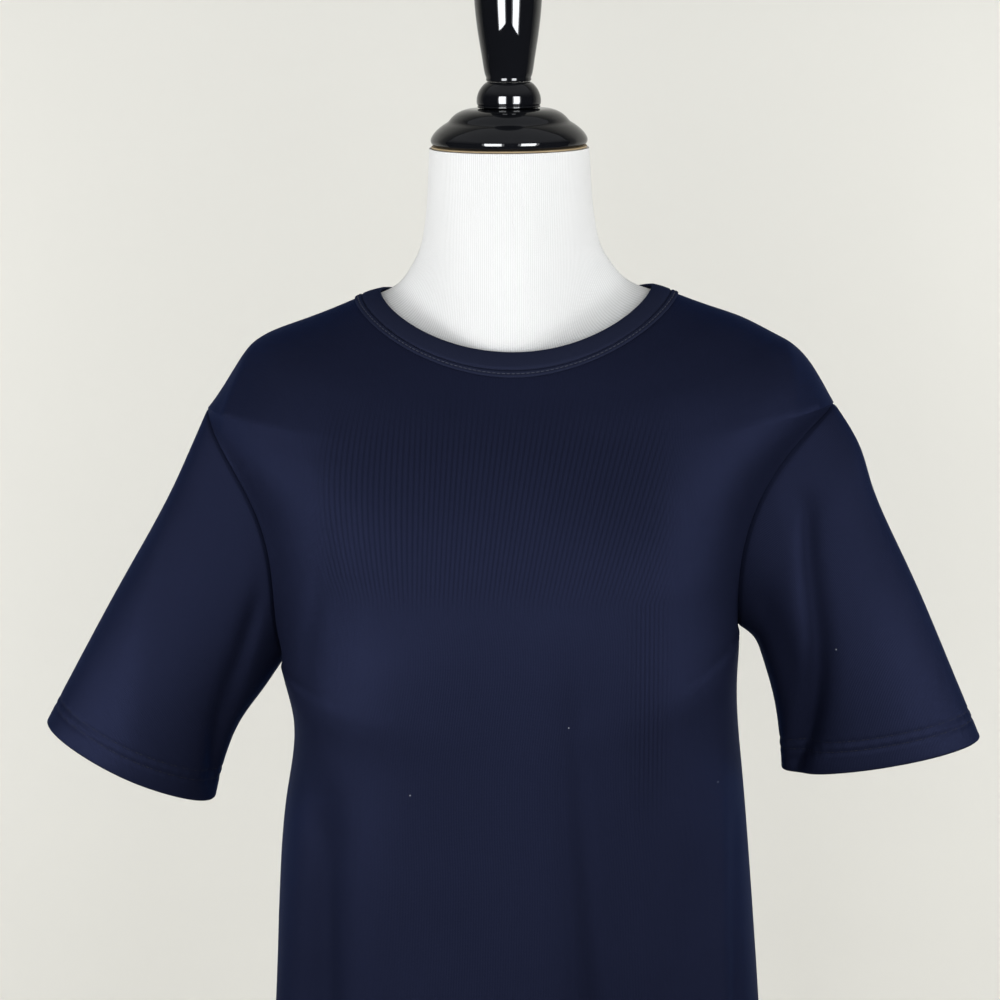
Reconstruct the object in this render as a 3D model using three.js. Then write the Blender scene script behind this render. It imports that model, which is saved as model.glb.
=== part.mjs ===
// Short-sleeved crew-neck pyjama top in thick, smooth double knit, worn by a limbless dress form.
// Millimetres, +Z up. The front faces -Y, left and right are the viewer's, and the origin is the
// middle of the base's underside. Heights in the tables are measured from the neck point, where
// the shoulder seam meets the neckband.
import * as THREE from 'three';

const neckPoint = 900;        // height of the neck point above the table
const clothWall = 1.6;        // one layer of double knit
const hemWall = 3.2;          // the same cloth folded up on itself
const hemFold = 22;           // height of that fold at the hem and the cuffs
const seamGap = 0.3;          // clearance between sewn pieces
const formGap = 0.7;          // clearance between the cloth and the form that carries it
const hemHeight = -645;       // lower edge of front and back

const panelColumns = 24;      // steps across a front or back
const lowerRows = 8;          // steps from the hem fold to the underarm
const armholeSteps = 14;      // steps along half an armhole
const shoulderRows = 6;       // steps along the shoulder seam
const sleeveRows = 7;         // steps from the armhole to the cuff fold
const turnedSteps = 26;       // steps round a turned part

const radians = Math.PI / 180;

// Half width at the side seam; up is 0 at the hem and 1 at the underarm.
const sideSeam = [
  { up: 0.00, left: 187.0, right: 185.0, y: 4 },
  { up: 0.30, left: 180.5, right: 179.0, y: 4 },
  { up: 0.55, left: 174.5, right: 170.5, y: 4 },
  { up: 0.75, left: 166.5, right: 162.5, y: 4 },
  { up: 0.90, left: 159.5, right: 157.0, y: 4 },
  { up: 1.00, left: 169.0, right: 158.5, y: 4 },
];

// Shoulder seam; along is 0 at the armhole and 1 at the neck point.
const shoulderSeam = [
  { along: 0.00, leftX: 224.0, leftZ: -84.0, rightX: 224.0, rightZ: -78.5, y: 3 },
  { along: 0.17, leftX: 211.0, leftZ: -66.0, rightX: 212.0, rightZ: -57.5, y: 3 },
  { along: 0.33, leftX: 197.5, leftZ: -46.0, rightX: 199.0, rightZ: -41.5, y: 2 },
  { along: 0.50, leftX: 181.5, leftZ: -31.5, rightX: 181.0, rightZ: -30.0, y: 1 },
  { along: 0.67, leftX: 159.0, leftZ: -22.5, rightX: 158.5, rightZ: -18.5, y: 0 },
  { along: 0.84, leftX: 135.5, leftZ: -14.0, rightX: 134.0, rightZ: -10.0, y: -3 },
  { along: 1.00, leftX: 110.0, leftZ: -3.5, rightX: 108.0, rightZ: -0.5, y: -6 },
];

// Depth of the centre front and centre back.
const centreProfile = [
  { z: -645, front: -130, back: 112 },
  { z: -530, front: -128, back: 109 },
  { z: -420, front: -124, back: 105 },
  { z: -330, front: -121, back: 101 },
  { z: -260, front: -120.5, back: 101 },
  { z: -215, front: -120, back: 101 },
  { z: -170, front: -116.5, back: 99 },
  { z: -130, front: -106, back: 94 },
  { z: -95, front: -92, back: 86 },
  { z: -54, front: -73, back: 73 },
  { z: -17, front: -56, back: 58 },
];

// Rows across a panel. line is 0 at the hem, 1 at the underarm, 2 at the sleeve's tip and 3 at
// the neckline. turn is the angle the row has turned through at its edge, square its exponent
// (2 is an ellipse), and lift shapes how its height runs from the centre to the edge.
const rows = [
  { line: 0.00, frontZ: -645, backZ: -645, turn: 90, square: 2.2, lift: 1.0 },
  { line: 0.50, frontZ: -468, backZ: -464, turn: 90, square: 2.2, lift: 1.0 },
  { line: 1.00, frontZ: -292, backZ: -284, turn: 88, square: 2.5, lift: 1.0 },
  { line: 1.25, frontZ: -240, backZ: -226, turn: 66, square: 2.6, lift: 1.0 },
  { line: 1.50, frontZ: -190, backZ: -168, turn: 56, square: 2.4, lift: 1.0 },
  { line: 1.75, frontZ: -142, backZ: -115, turn: 60, square: 2.3, lift: 1.0 },
  { line: 2.00, frontZ: -104, backZ: -78, turn: 78, square: 2.2, lift: 1.0 },
  { line: 2.30, frontZ: -86, backZ: -57, turn: 89, square: 2.1, lift: 1.0 },
  { line: 2.80, frontZ: -63, backZ: -29, turn: 90, square: 2.0, lift: 0.95 },
  { line: 3.00, frontZ: -53.5, backZ: -17, turn: 90, square: 2.0, lift: 0.78 },
];

// Sleeve sections from the armhole to the cuff: the points furthest from and nearest to the
// body, the half depth from front to back, the middle's depth and the seam's scoop to the body.
const sleeveSections = {
  left: [
    { along: 0.00, outX: -224, outZ: -84, inX: -169, inZ: -265, depth: 38, y: 3, scoop: 17 },
    { along: 0.10, outX: -235, outZ: -108, inX: -176, inZ: -275, depth: 40, y: 3, scoop: 13 },
    { along: 0.25, outX: -252, outZ: -144, inX: -187, inZ: -291, depth: 43, y: 3, scoop: 9 },
    { along: 0.50, outX: -285, outZ: -202, inX: -205, inZ: -316, depth: 46, y: 3, scoop: 3 },
    { along: 0.75, outX: -318, outZ: -260, inX: -217.5, inZ: -345, depth: 46, y: 3, scoop: 0 },
    { along: 1.00, outX: -349.5, outZ: -317, inX: -225.5, inZ: -375.5, depth: 45, y: 3, scoop: 0 },
  ],
  right: [
    { along: 0.00, outX: 224, outZ: -78.5, inX: 158.5, inZ: -239, depth: 38, y: 3, scoop: 24 },
    { along: 0.10, outX: 240.5, outZ: -104, inX: 169, inZ: -246.5, depth: 40, y: 3, scoop: 20 },
    { along: 0.25, outX: 252, outZ: -136, inX: 176.5, inZ: -261, depth: 42, y: 3, scoop: 14 },
    { along: 0.50, outX: 280, outZ: -197, inX: 185, inZ: -289, depth: 43, y: 3, scoop: 5 },
    { along: 0.75, outX: 307.5, outZ: -258.5, inX: 190, inZ: -317, depth: 43, y: 3, scoop: 0 },
    { along: 1.00, outX: 334, outZ: -319.5, inX: 192.5, inZ: -346.5, depth: 42, y: 3, scoop: 0 },
  ],
};

// The bust of the form pushes the front out in two soft mounds: above its middle the cloth
// falls away over rise, and below it hangs down and only comes back over hang.
const bust = [
  { x: -92, z: -212, wide: 60, rise: 64, hang: 230, proud: 13 },
  { x: 94, z: -190, wide: 58, rise: 56, hang: 230, proud: 14 },
];

// Largest folds of the front, from the upper end to the lower: a trough is negative.
const frontFolds = [
  { x1: 43, z1: -290, x2: 64, z2: -645, wide1: 11, wide2: 20, deep1: -1.5, deep2: -13 },
  { x1: -104, z1: -290, x2: -146, z2: -645, wide1: 18, wide2: 27, deep1: -3.5, deep2: -13 },
  { x1: -40, z1: -420, x2: -48, z2: -645, wide1: 26, wide2: 30, deep1: 1, deep2: 5 },
  { x1: 140, z1: -320, x2: 150, z2: -645, wide1: 14, wide2: 16, deep1: 1, deep2: 4 },
  { x1: 186, z1: -44, x2: 126, z2: -185, wide1: 18, wide2: 24, deep1: 3, deep2: 1 },
];

// Folds of the back, made by the same cloth hanging from the shoulder blades.
const backFolds = [
  { x1: -62, z1: -270, x2: -78, z2: -645, wide1: 20, wide2: 30, deep1: -2, deep2: -8 },
  { x1: 74, z1: -250, x2: 96, z2: -645, wide1: 20, wide2: 28, deep1: -2, deep2: -9 },
  { x1: 4, z1: -360, x2: 10, z2: -645, wide1: 30, wide2: 34, deep1: 1, deep2: 5 },
];

// Neckband: a folded rib of this height above the neckline, and a strip stitched over it.
const bandHeight = 14;
const stripHeight = 5.3;
const scoopFocus = { left: 4, right: 2.2 };      // how far the armhole's scoop keeps to its middle
const bandLean = { shoulder: 17, centre: 61 };   // degrees up from level

// The form carries the cloth along its shoulder seams and is narrower elsewhere, and it has the
// bust but none of the folds: across and deep are its share of the cloth's half width and depth.
// Away from the seams it stands back from the cloth by a further ease.
const formEase = 2.6;
const formRows = [
  { line: 0.00, across: 0.93, deep: 0.91 },
  { line: 0.30, across: 0.92, deep: 0.91 },
  { line: 0.55, across: 0.91, deep: 0.92 },
  { line: 0.80, across: 0.92, deep: 0.94 },
  { line: 1.00, across: 0.92, deep: 0.97 },
  { line: 1.50, across: 0.91, deep: 0.98 },
  { line: 2.00, across: 0.84, deep: 0.98 },
  { line: 2.34, across: 0.94, deep: 0.99 },
  { line: 2.50, across: 1.00, deep: 1.00 },
  { line: 3.00, across: 1.00, deep: 1.00 },
];

// Rounded lower end of the form, below the cloth.
const formEnd = [
  { z: -700, halfWidth: 172, front: -116, back: 99 },
  { z: -722, halfWidth: 169, front: -113, back: 96 },
  { z: -730, halfWidth: 162, front: -106, back: 89 },
];

// The neck: rise goes from the neckline to the cap, and spread from the neckline's ring to the
// cap's round one.
const neckFlare = [
  { rise: 0.000, side: 1.000, centre: 1.00 },
  { rise: 0.030, side: 0.788, centre: 0.66 },
  { rise: 0.060, side: 0.625, centre: 0.38 },
  { rise: 0.100, side: 0.482, centre: 0.10 },
  { rise: 0.197, side: 0.308, centre: -0.14 },
  { rise: 0.320, side: 0.165, centre: -0.22 },
  { rise: 0.456, side: 0.093, centre: -0.22 },
  { rise: 0.650, side: 0.043, centre: -0.14 },
  { rise: 0.857, side: 0.019, centre: -0.05 },
  { rise: 1.000, side: 0.000, centre: 0.00 },
];
const cap = { x: -5.7, y: -8, z: 99, tilt: 8.5, neckRadius: 55.8 };

const stand = {
  poleRadius: 15, plateRadius: 32, plateHeight: 6, baseRadius: 165, rimHeight: 16,
  domeHeight: 24, socketRadius: 34, socketTop: 44,
};

// A smooth curve through a table: a natural cubic spline of one column over another.
function curve(table, key, name) {
  const x = table.map((row) => row[key]);
  const y = table.map((row) => row[name]);
  const count = x.length;
  const bend = new Array(count).fill(0);
  const work = new Array(count).fill(0);
  for (let i = 1; i < count - 1; i++) {
    const before = x[i] - x[i - 1];
    const after = x[i + 1] - x[i];
    const share = before / (before + after);
    const pivot = share * bend[i - 1] + 2;
    const slopes = (y[i + 1] - y[i]) / after - (y[i] - y[i - 1]) / before;
    bend[i] = (share - 1) / pivot;
    work[i] = (6 * slopes / (before + after) - share * work[i - 1]) / pivot;
  }
  for (let i = count - 2; i >= 0; i--) {
    bend[i] = bend[i] * bend[i + 1] + work[i];
  }
  return (at) => {
    let i = 0;
    while (i < count - 2 && at > x[i + 1]) i++;
    const span = x[i + 1] - x[i];
    const a = (x[i + 1] - at) / span;
    const b = 1 - a;
    const cubic = (a ** 3 - a) * bend[i] + (b ** 3 - b) * bend[i + 1];
    return a * y[i] + b * y[i + 1] + cubic * span * span / 6;
  };
}

const seamHalf = { left: curve(sideSeam, 'up', 'left'), right: curve(sideSeam, 'up', 'right') };
const seamDepth = curve(sideSeam, 'up', 'y');
const shoulderX = {
  left: curve(shoulderSeam, 'along', 'leftX'), right: curve(shoulderSeam, 'along', 'rightX'),
};
const shoulderZ = {
  left: curve(shoulderSeam, 'along', 'leftZ'), right: curve(shoulderSeam, 'along', 'rightZ'),
};
const shoulderY = curve(shoulderSeam, 'along', 'y');
const centreDepth = {
  front: curve(centreProfile, 'z', 'front'), back: curve(centreProfile, 'z', 'back'),
};
const centreHeight = {
  front: curve(rows, 'line', 'frontZ'), back: curve(rows, 'line', 'backZ'),
};
const rowTurn = curve(rows, 'line', 'turn');
const rowSquare = curve(rows, 'line', 'square');
const rowLift = curve(rows, 'line', 'lift');

const sleeveCurves = {};
for (const side of ['left', 'right']) {
  sleeveCurves[side] = {};
  for (const name of ['outX', 'outZ', 'inX', 'inZ', 'depth', 'y', 'scoop']) {
    sleeveCurves[side][name] = curve(sleeveSections[side], 'along', name);
  }
}

const mix = (a, b, share) => a + (b - a) * share;
const smooth = (value) => {
  const t = Math.min(1, Math.max(0, value));
  return t * t * (3 - 2 * t);
};

// A point of a sleeve. Angle -90 is the underarm, 0 the front, 90 the top and 180 the back.
function sleevePoint(side, along, angle) {
  const at = sleeveCurves[side];
  const outer = new THREE.Vector3(at.outX(along), 0, at.outZ(along));
  const inner = new THREE.Vector3(at.inX(along), 0, at.inZ(along));
  const lift = Math.sin(angle * radians);
  const ahead = Math.cos(angle * radians);
  const reach = at.scoop(along) * Math.abs(ahead) ** scoopFocus[side] * (ahead > 0 ? 1 : 0.5);
  const chord = outer.clone().sub(inner).normalize();
  const point = inner.lerp(outer, (1 + lift) / 2);
  point.x += Math.abs(chord.z) * (side === 'left' ? reach : -reach);
  point.z += Math.abs(chord.x) * reach;
  point.y = at.y(along) - at.depth(along) * ahead;
  return point;
}

// The edge of a panel: side seam, then armhole, then shoulder seam.
function edgePoint(face, side, line) {
  const sign = side === 'left' ? -1 : 1;
  if (line <= 1) {
    const underarm = sleeveCurves[side].inZ(0);
    return new THREE.Vector3(
      sign * seamHalf[side](line), seamDepth(line) + (sleeveCurves[side].y(0) - seamDepth(1)) * line,
      mix(hemHeight, underarm, line));
  }
  if (line < 2) {
    const angle = -90 + 180 * (line - 1);
    return sleevePoint(side, 0, face === 'front' ? angle : 180 - angle);
  }
  const along = line - 2;
  return new THREE.Vector3(sign * shoulderX[side](along), shoulderY(along), shoulderZ[side](along));
}

// A point of the plain front or back, before bust and folds; s goes from -1 to 1 across.
function panelPoint(face, line, s) {
  const side = s < 0 ? 'left' : 'right';
  const edge = edgePoint(face, side, line);
  const height = centreHeight[face](line);
  const depth = centreDepth[face](height);
  const turn = Math.min(90, rowTurn(line)) * radians;
  const power = 2 / rowSquare(line);
  const angle = turn * Math.abs(s);
  const across = (Math.sin(angle) / Math.sin(turn)) ** power;
  const around = (1 - Math.max(0, Math.cos(angle)) ** power) / (1 - Math.max(0, Math.cos(turn)) ** power);
  const climb = 1 - Math.max(0, 1 - across * across) ** rowLift(line);
  return new THREE.Vector3(edge.x * across, mix(depth, edge.y, around), mix(height, edge.z, climb));
}

// How far the bust pushes the front out at a point.
function bustRelief(face, point) {
  let out = 0;
  for (const mound of face === 'front' ? bust : []) {
    const u = (point.x - mound.x) / mound.wide;
    const above = point.z - mound.z;
    const v = above / (above > 0 ? mound.rise : mound.hang);
    out += mound.proud * Math.exp(-u * u - v * v);
  }
  return out;
}

// How far the folds push the cloth out at a point.
function foldRelief(face, point) {
  let out = 0;
  for (const fold of face === 'front' ? frontFolds : backFolds) {
    const down = (point.z - fold.z1) / (fold.z2 - fold.z1);
    const share = Math.min(1, Math.max(0, down));
    const aside = (point.x - mix(fold.x1, fold.x2, share)) / mix(fold.wide1, fold.wide2, share);
    const fade = smooth(1 + down * 4) * smooth((1.25 - down) * 4);
    out += mix(fold.deep1, fold.deep2, share) * fade * Math.exp(-aside * aside);
  }
  return out;
}

// Normals of a grid of points, from the neighbours of each; a closed grid wraps round in j.
function gridNormals(grid, closed, outward) {
  const last = grid.length - 1;
  const width = grid[0].length;
  const pick = (i, j) => {
    const row = grid[Math.min(last, Math.max(0, i))];
    return closed ? row[(j + width) % width] : row[Math.min(width - 1, Math.max(0, j))];
  };
  return grid.map((row, i) => row.map((point, j) => {
    const up = pick(i + 1, j).clone().sub(pick(i - 1, j));
    const across = pick(i, j + 1).clone().sub(pick(i, j - 1));
    return across.cross(up).normalize().multiplyScalar(outward);
  }));
}

const panelLines = [0];
const foldLine = hemFold / (sleeveCurves.left.inZ(0) - hemHeight);
panelLines.push(foldLine * 0.95, foldLine * 1.05);
for (let i = 1; i <= lowerRows; i++) {
  panelLines.push(mix(foldLine, 1, 1 - (1 - i / lowerRows) ** 1.35));
}
for (let i = 1; i <= armholeSteps; i++) {
  panelLines.push(1 + i / armholeSteps);
}
for (let i = 1; i <= shoulderRows; i++) {
  panelLines.push(2 + i / shoulderRows);
}

// A front or back as a grid of outer points, with its bust and, if it is folded, its folds.
function panelGrid(face, folded) {
  const outward = face === 'front' ? 1 : -1;
  const plain = panelLines.map((line) => {
    const row = [];
    for (let j = 0; j <= panelColumns; j++) {
      row.push(panelPoint(face, line, -1 + 2 * j / panelColumns));
    }
    return row;
  });
  const normals = gridNormals(plain, false, outward);
  return plain.map((row, i) => row.map((point, j) => {
    const s = -1 + 2 * j / panelColumns;
    const held = (1 - Math.abs(s) ** 6) * smooth((3 - panelLines[i]) * 2);
    const relief = bustRelief(face, point) + (folded ? foldRelief(face, point) : 0);
    return point.clone().addScaledVector(normals[i][j], relief * held);
  }));
}

// A sleeve as a grid of rings; its last two steps are the folded cuff.
function sleeveGrid(side) {
  const rings = [];
  const head = sleeveSections[side][0];
  const cuffEnd = sleeveSections[side].at(-1);
  const outerLength = Math.hypot(cuffEnd.outX - head.outX, cuffEnd.outZ - head.outZ);
  const innerLength = Math.hypot(cuffEnd.inX - head.inX, cuffEnd.inZ - head.inZ);
  for (let i = 0; i <= sleeveRows + 2; i++) {
    const ring = [];
    for (let j = 0; j < 2 * armholeSteps; j++) {
      const angle = -90 + 180 * j / armholeSteps;
      const length = mix(innerLength, outerLength, (1 + Math.sin(angle * radians)) / 2);
      const cuff = 1 - hemFold / length;
      let along = cuff * i / sleeveRows;
      if (i === sleeveRows) along = cuff - 1 / length;
      if (i === sleeveRows + 1) along = cuff + 1 / length;
      if (i === sleeveRows + 2) along = 1;
      ring.push(sleevePoint(side, along, angle));
    }
    rings.push(ring);
  }
  return rings;
}

// Pieces that meet at a seam share one normal there, so that their walls are mitred.
const seamNormals = new Map();
const seamKey = (point) => `${point.x.toFixed(3)},${point.y.toFixed(3)},${point.z.toFixed(3)}`;

function onSeam(piece, i, j) {
  if (piece.closed) return i === 0;
  return j === 0 || j === piece.grid[0].length - 1;
}

function gatherSeams(piece) {
  piece.grid.forEach((row, i) => row.forEach((point, j) => {
    if (!onSeam(piece, i, j)) return;
    const key = seamKey(point);
    const sums = seamNormals.get(key) ?? { panels: new THREE.Vector3(), sleeve: new THREE.Vector3() };
    sums[piece.closed ? 'sleeve' : 'panels'].add(piece.normals[i][j]);
    seamNormals.set(key, sums);
  }));
}

function seamNormal(point) {
  const { panels, sleeve } = seamNormals.get(seamKey(point));
  return panels.clone().normalize().add(sleeve.clone().normalize()).normalize();
}

function solidGeometry(positions, index) {
  const geometry = new THREE.BufferGeometry();
  geometry.setAttribute('position', new THREE.Float32BufferAttribute(positions, 3));
  geometry.setIndex(index);
  geometry.computeVertexNormals();
  return geometry;
}

// One closed solid from an outer grid and a wall on its inner side.
function shellGeometry(outer, inner, closed, outward) {
  const rowCount = outer.length;
  const width = outer[0].length;
  const steps = closed ? width : width - 1;
  const positions = [];
  for (const grid of [outer, inner]) {
    for (const row of grid) {
      for (const point of row) positions.push(point.x, point.y, point.z);
    }
  }
  const index = [];
  const at = (layer, i, j) => layer * rowCount * width + i * width + (j % width);
  const quad = (a, b, c, d) => {
    if (outward > 0) index.push(a, b, c, a, c, d);
    else index.push(a, c, b, a, d, c);
  };
  for (let i = 0; i < rowCount - 1; i++) {
    for (let j = 0; j < steps; j++) {
      quad(at(0, i, j), at(0, i, j + 1), at(0, i + 1, j + 1), at(0, i + 1, j));
      quad(at(1, i + 1, j), at(1, i + 1, j + 1), at(1, i, j + 1), at(1, i, j));
    }
  }
  const top = rowCount - 1;
  for (let j = 0; j < steps; j++) {
    quad(at(1, 0, j), at(1, 0, j + 1), at(0, 0, j + 1), at(0, 0, j));
    quad(at(0, top, j), at(0, top, j + 1), at(1, top, j + 1), at(1, top, j));
  }
  if (!closed) {
    for (let i = 0; i < rowCount - 1; i++) {
      quad(at(1, i, 0), at(0, i, 0), at(0, i + 1, 0), at(1, i + 1, 0));
      quad(at(0, i, steps), at(1, i, steps), at(1, i + 1, steps), at(0, i + 1, steps));
    }
  }
  return solidGeometry(positions, index);
}

// Draws a piece back from its seams, gives it its wall and closes it.
function sewnGeometry(piece) {
  const { grid, normals, closed, outward, wall } = piece;
  const last = grid[0].length - 1;
  const outer = grid.map((row) => row.map((point) => point.clone()));
  const inner = [];
  grid.forEach((row, i) => {
    inner.push(row.map((point, j) => {
      let normal = normals[i][j];
      if (onSeam(piece, i, j)) {
        normal = seamNormal(point);
        const next = closed ? grid[1][j] : row[j === 0 ? 1 : last - 1];
        const above = closed ? row[(j + 1) % row.length] : grid[Math.min(grid.length - 1, i + 1)][j];
        const below = closed ? row[(j + last) % row.length] : grid[Math.max(0, i - 1)][j];
        const seam = above.clone().sub(below).normalize();
        const inwards = next.clone().sub(point);
        inwards.addScaledVector(seam, -inwards.dot(seam)).normalize();
        outer[i][j].addScaledVector(inwards, seamGap / 2);
      }
      return outer[i][j].clone().addScaledVector(normal, -wall(i));
    }));
  });
  return shellGeometry(outer, inner, closed, outward);
}

const panels = {};
const smoothPanels = {};
for (const face of ['front', 'back']) {
  const outward = face === 'front' ? 1 : -1;
  const grid = panelGrid(face, true);
  panels[face] = {
    grid, outward, closed: false, normals: gridNormals(grid, false, outward),
    wall: (i) => (i < 2 ? hemWall : clothWall),
  };
  const smoothGrid = panelGrid(face, false);
  smoothPanels[face] = { grid: smoothGrid, normals: gridNormals(smoothGrid, false, outward) };
}
const sleeves = {};
for (const side of ['left', 'right']) {
  const outward = side === 'left' ? 1 : -1;
  const grid = sleeveGrid(side);
  sleeves[side] = {
    grid, outward, closed: true, normals: gridNormals(grid, true, outward),
    wall: (i) => (i > sleeveRows ? hemWall : clothWall),
  };
}
for (const piece of [panels.front, panels.back, sleeves.left, sleeves.right]) {
  gatherSeams(piece);
}

// The neckline's ring, front then back, with the panel's normal and its direction downwards.
function necklineRing() {
  const ring = [];
  for (const face of ['front', 'back']) {
    const { grid, normals } = panels[face];
    const top = grid.length - 1;
    for (let step = 0; step < panelColumns; step++) {
      const j = face === 'front' ? step : panelColumns - step;
      const atSeam = j === 0 || j === panelColumns;
      const point = grid[top][j];
      const normal = atSeam ? seamNormal(point) : normals[top][j];
      const down = grid[top - 1][j].clone().sub(point).normalize();
      ring.push({ point, normal, down });
    }
  }
  return ring;
}

// Neckband: for each place on the neckline, a closed profile of strip, groove and folded rib.
function neckbandGeometry() {
  const ring = necklineRing();
  const count = ring.length;
  const profiles = ring.map(({ point, normal, down }, i) => {
    const before = ring[(i + count - 1) % count].point;
    const after = ring[(i + 1) % count].point;
    const along = after.clone().sub(before).setZ(0).normalize();
    const inward = new THREE.Vector3(-along.y, along.x, 0);
    const centred = Math.abs(inward.y) ** 1.5;
    const lean = mix(bandLean.shoulder, bandLean.centre, centred) * radians;
    const rib = inward.clone().multiplyScalar(Math.cos(lean)).setZ(Math.sin(lean));
    const out = inward.clone().multiplyScalar(-Math.sin(lean)).setZ(Math.cos(lean));
    const onPanel = (height, proud) => point.clone()
      .addScaledVector(down, -height).addScaledVector(normal, proud);
    const onRib = (height, proud) => point.clone()
      .addScaledVector(rib, height).addScaledVector(out, proud);
    return [
      onPanel(-stripHeight, 0.3), onPanel(-stripHeight, 1.3), onPanel(-stripHeight / 2, 1.6),
      onPanel(-0.7, 1.4), onRib(0.2, 0.7), onRib(1.0, 1.4), onRib(bandHeight / 2, 1.7),
      onRib(bandHeight - 0.8, 1.2), onRib(bandHeight, 0), onRib(bandHeight - 0.8, -1.6),
      onRib(0.5, -1.7), onRib(0.4, 0.3),
    ];
  });
  const positions = [];
  const index = [];
  const sides = profiles[0].length;
  profiles.forEach((profile) => profile.forEach((p) => positions.push(p.x, p.y, p.z)));
  for (let i = 0; i < count; i++) {
    const next = (i + 1) % count;
    for (let j = 0; j < sides; j++) {
      const side = (j + 1) % sides;
      const [a, b] = [i * sides + j, next * sides + j];
      const [c, d] = [next * sides + side, i * sides + side];
      index.push(a, b, c, a, c, d);
    }
  }
  return solidGeometry(positions, index);
}

const formCurves = {};
for (const name of ['across', 'deep']) {
  formCurves[name] = curve(formRows, 'line', name);
}
const formColumnStep = 2;
const flankSteps = 4;

// A point of the form under a place on a panel.
function formPoint(face, i, j) {
  const line = panelLines[i];
  const { grid, normals } = smoothPanels[face];
  const atSeam = j === 0 || j === panelColumns;
  const normal = atSeam ? seamNormal(grid[i][j]) : normals[i][j];
  const s = -1 + 2 * j / panelColumns;
  const depth = clothWall + formGap + formEase * (1 - s ** 8);
  const point = grid[i][j].clone().addScaledVector(normal, -depth);
  if (atSeam) point.y += face === 'front' ? -1 : 1;
  point.x *= Math.min(1, formCurves.across(line));
  point.y *= Math.min(1, formCurves.deep(line));
  return point;
}

// A ring of the form: inset front, flank, inset back, flank.
function formRing(i) {
  const ring = [];
  for (const face of ['front', 'back']) {
    for (let step = 0; step <= panelColumns; step += formColumnStep) {
      ring.push(formPoint(face, i, face === 'front' ? step : panelColumns - step));
    }
    const start = ring[ring.length - 1];
    const end = formPoint(face === 'front' ? 'back' : 'front', i, face === 'front' ? panelColumns : 0);
    const bulge = Math.abs(end.y - start.y) * 0.12 * Math.sign(start.x);
    for (let step = 1; step < flankSteps; step++) {
      const share = step / flankSteps;
      const point = start.clone().lerp(end, share);
      point.x += bulge * Math.sin(share * Math.PI);
      ring.push(point);
    }
  }
  return ring;
}

// A ring below the cloth, with the same number of points.
function endRing(row, like) {
  return like.map((point) => {
    const angle = Math.atan2(point.x / 165, -point.y / 110);
    const depth = Math.cos(angle) > 0 ? -row.front : row.back;
    return new THREE.Vector3(row.halfWidth * Math.sin(angle), -depth * Math.cos(angle), row.z);
  });
}

// Neck rings: from the neckline's ring in to a round one, tilted forwards like the cap.
function neckRings(base) {
  const tilt = cap.tilt * radians;
  return neckFlare.slice(1).map(({ rise, side, centre }) => base.map((point) => {
    const angle = Math.atan2(point.x - cap.x, -(point.y - cap.y));
    const spread = mix(side, centre, Math.abs(Math.cos(angle)) ** 1.5);
    const x = cap.x + cap.neckRadius * Math.sin(angle);
    const ahead = cap.neckRadius * Math.cos(angle);
    const y = cap.y - ahead * Math.cos(tilt);
    const z = cap.z - ahead * Math.sin(tilt);
    return new THREE.Vector3(mix(x, point.x, spread), mix(y, point.y, spread), mix(point.z, z, rise));
  }));
}

function formGeometry() {
  const used = panelLines.map((line, i) => i).filter((i) => i !== 1 && (i === 0 || i > 2));
  const body = used.map(formRing);
  const below = formEnd.map((row) => endRing(row, body[0])).reverse();
  const rings = [...below, ...body, ...neckRings(body[body.length - 1])];
  const width = rings[0].length;
  const positions = rings.flat().flatMap((p) => [p.x, p.y, p.z]);
  const bottom = { x: 0, y: 0, z: formEnd[formEnd.length - 1].z };
  const top = { x: cap.x, y: cap.y, z: cap.z };
  positions.push(bottom.x, bottom.y, bottom.z, top.x, top.y, top.z);
  const index = [];
  const lastRing = rings.length - 1;
  for (let i = 0; i < lastRing; i++) {
    for (let j = 0; j < width; j++) {
      const next = (j + 1) % width;
      const [a, b] = [i * width + j, i * width + next];
      const [c, d] = [(i + 1) * width + next, (i + 1) * width + j];
      index.push(a, b, c, a, c, d);
    }
  }
  for (let j = 0; j < width; j++) {
    const next = (j + 1) % width;
    index.push(rings.length * width, next, j);
    index.push(rings.length * width + 1, lastRing * width + j, lastRing * width + next);
  }
  return solidGeometry(positions, index);
}

// A turned part from its profile of radius and height.
function turnedGeometry(profile) {
  const points = profile.map(([radius, height]) => new THREE.Vector2(radius, height));
  const geometry = new THREE.LatheGeometry(points, turnedSteps);
  geometry.rotateX(Math.PI / 2);
  return geometry;
}

const navy = new THREE.MeshStandardMaterial({ color: 0x1c2033, roughness: 0.85, metalness: 0 });
const navyBand = new THREE.MeshStandardMaterial({ color: 0x222539, roughness: 0.88, metalness: 0 });
const jersey = new THREE.MeshStandardMaterial({ color: 0xf4f3f0, roughness: 0.9, metalness: 0 });
const gloss = new THREE.MeshStandardMaterial({ color: 0x141316, roughness: 0.12, metalness: 0 });
const tan = new THREE.MeshStandardMaterial({ color: 0x8a7350, roughness: 0.5, metalness: 0.2 });
const satinBlack = new THREE.MeshStandardMaterial({ color: 0x161618, roughness: 0.4, metalness: 0.3 });

const group = new THREE.Group();
const garment = new THREE.Group();
garment.position.z = neckPoint;
group.add(garment);

function addMesh(parent, name, geometry, material) {
  const mesh = new THREE.Mesh(geometry, material);
  mesh.name = name;
  parent.add(mesh);
  return mesh;
}

addMesh(garment, 'front', sewnGeometry(panels.front), navy);
addMesh(garment, 'back', sewnGeometry(panels.back), navy);
addMesh(garment, 'sleeve_left', sewnGeometry(sleeves.left), navy);
addMesh(garment, 'sleeve_right', sewnGeometry(sleeves.right), navy);
addMesh(garment, 'neckband', neckbandGeometry(), navyBand);
addMesh(garment, 'form_torso', formGeometry(), jersey);

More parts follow.
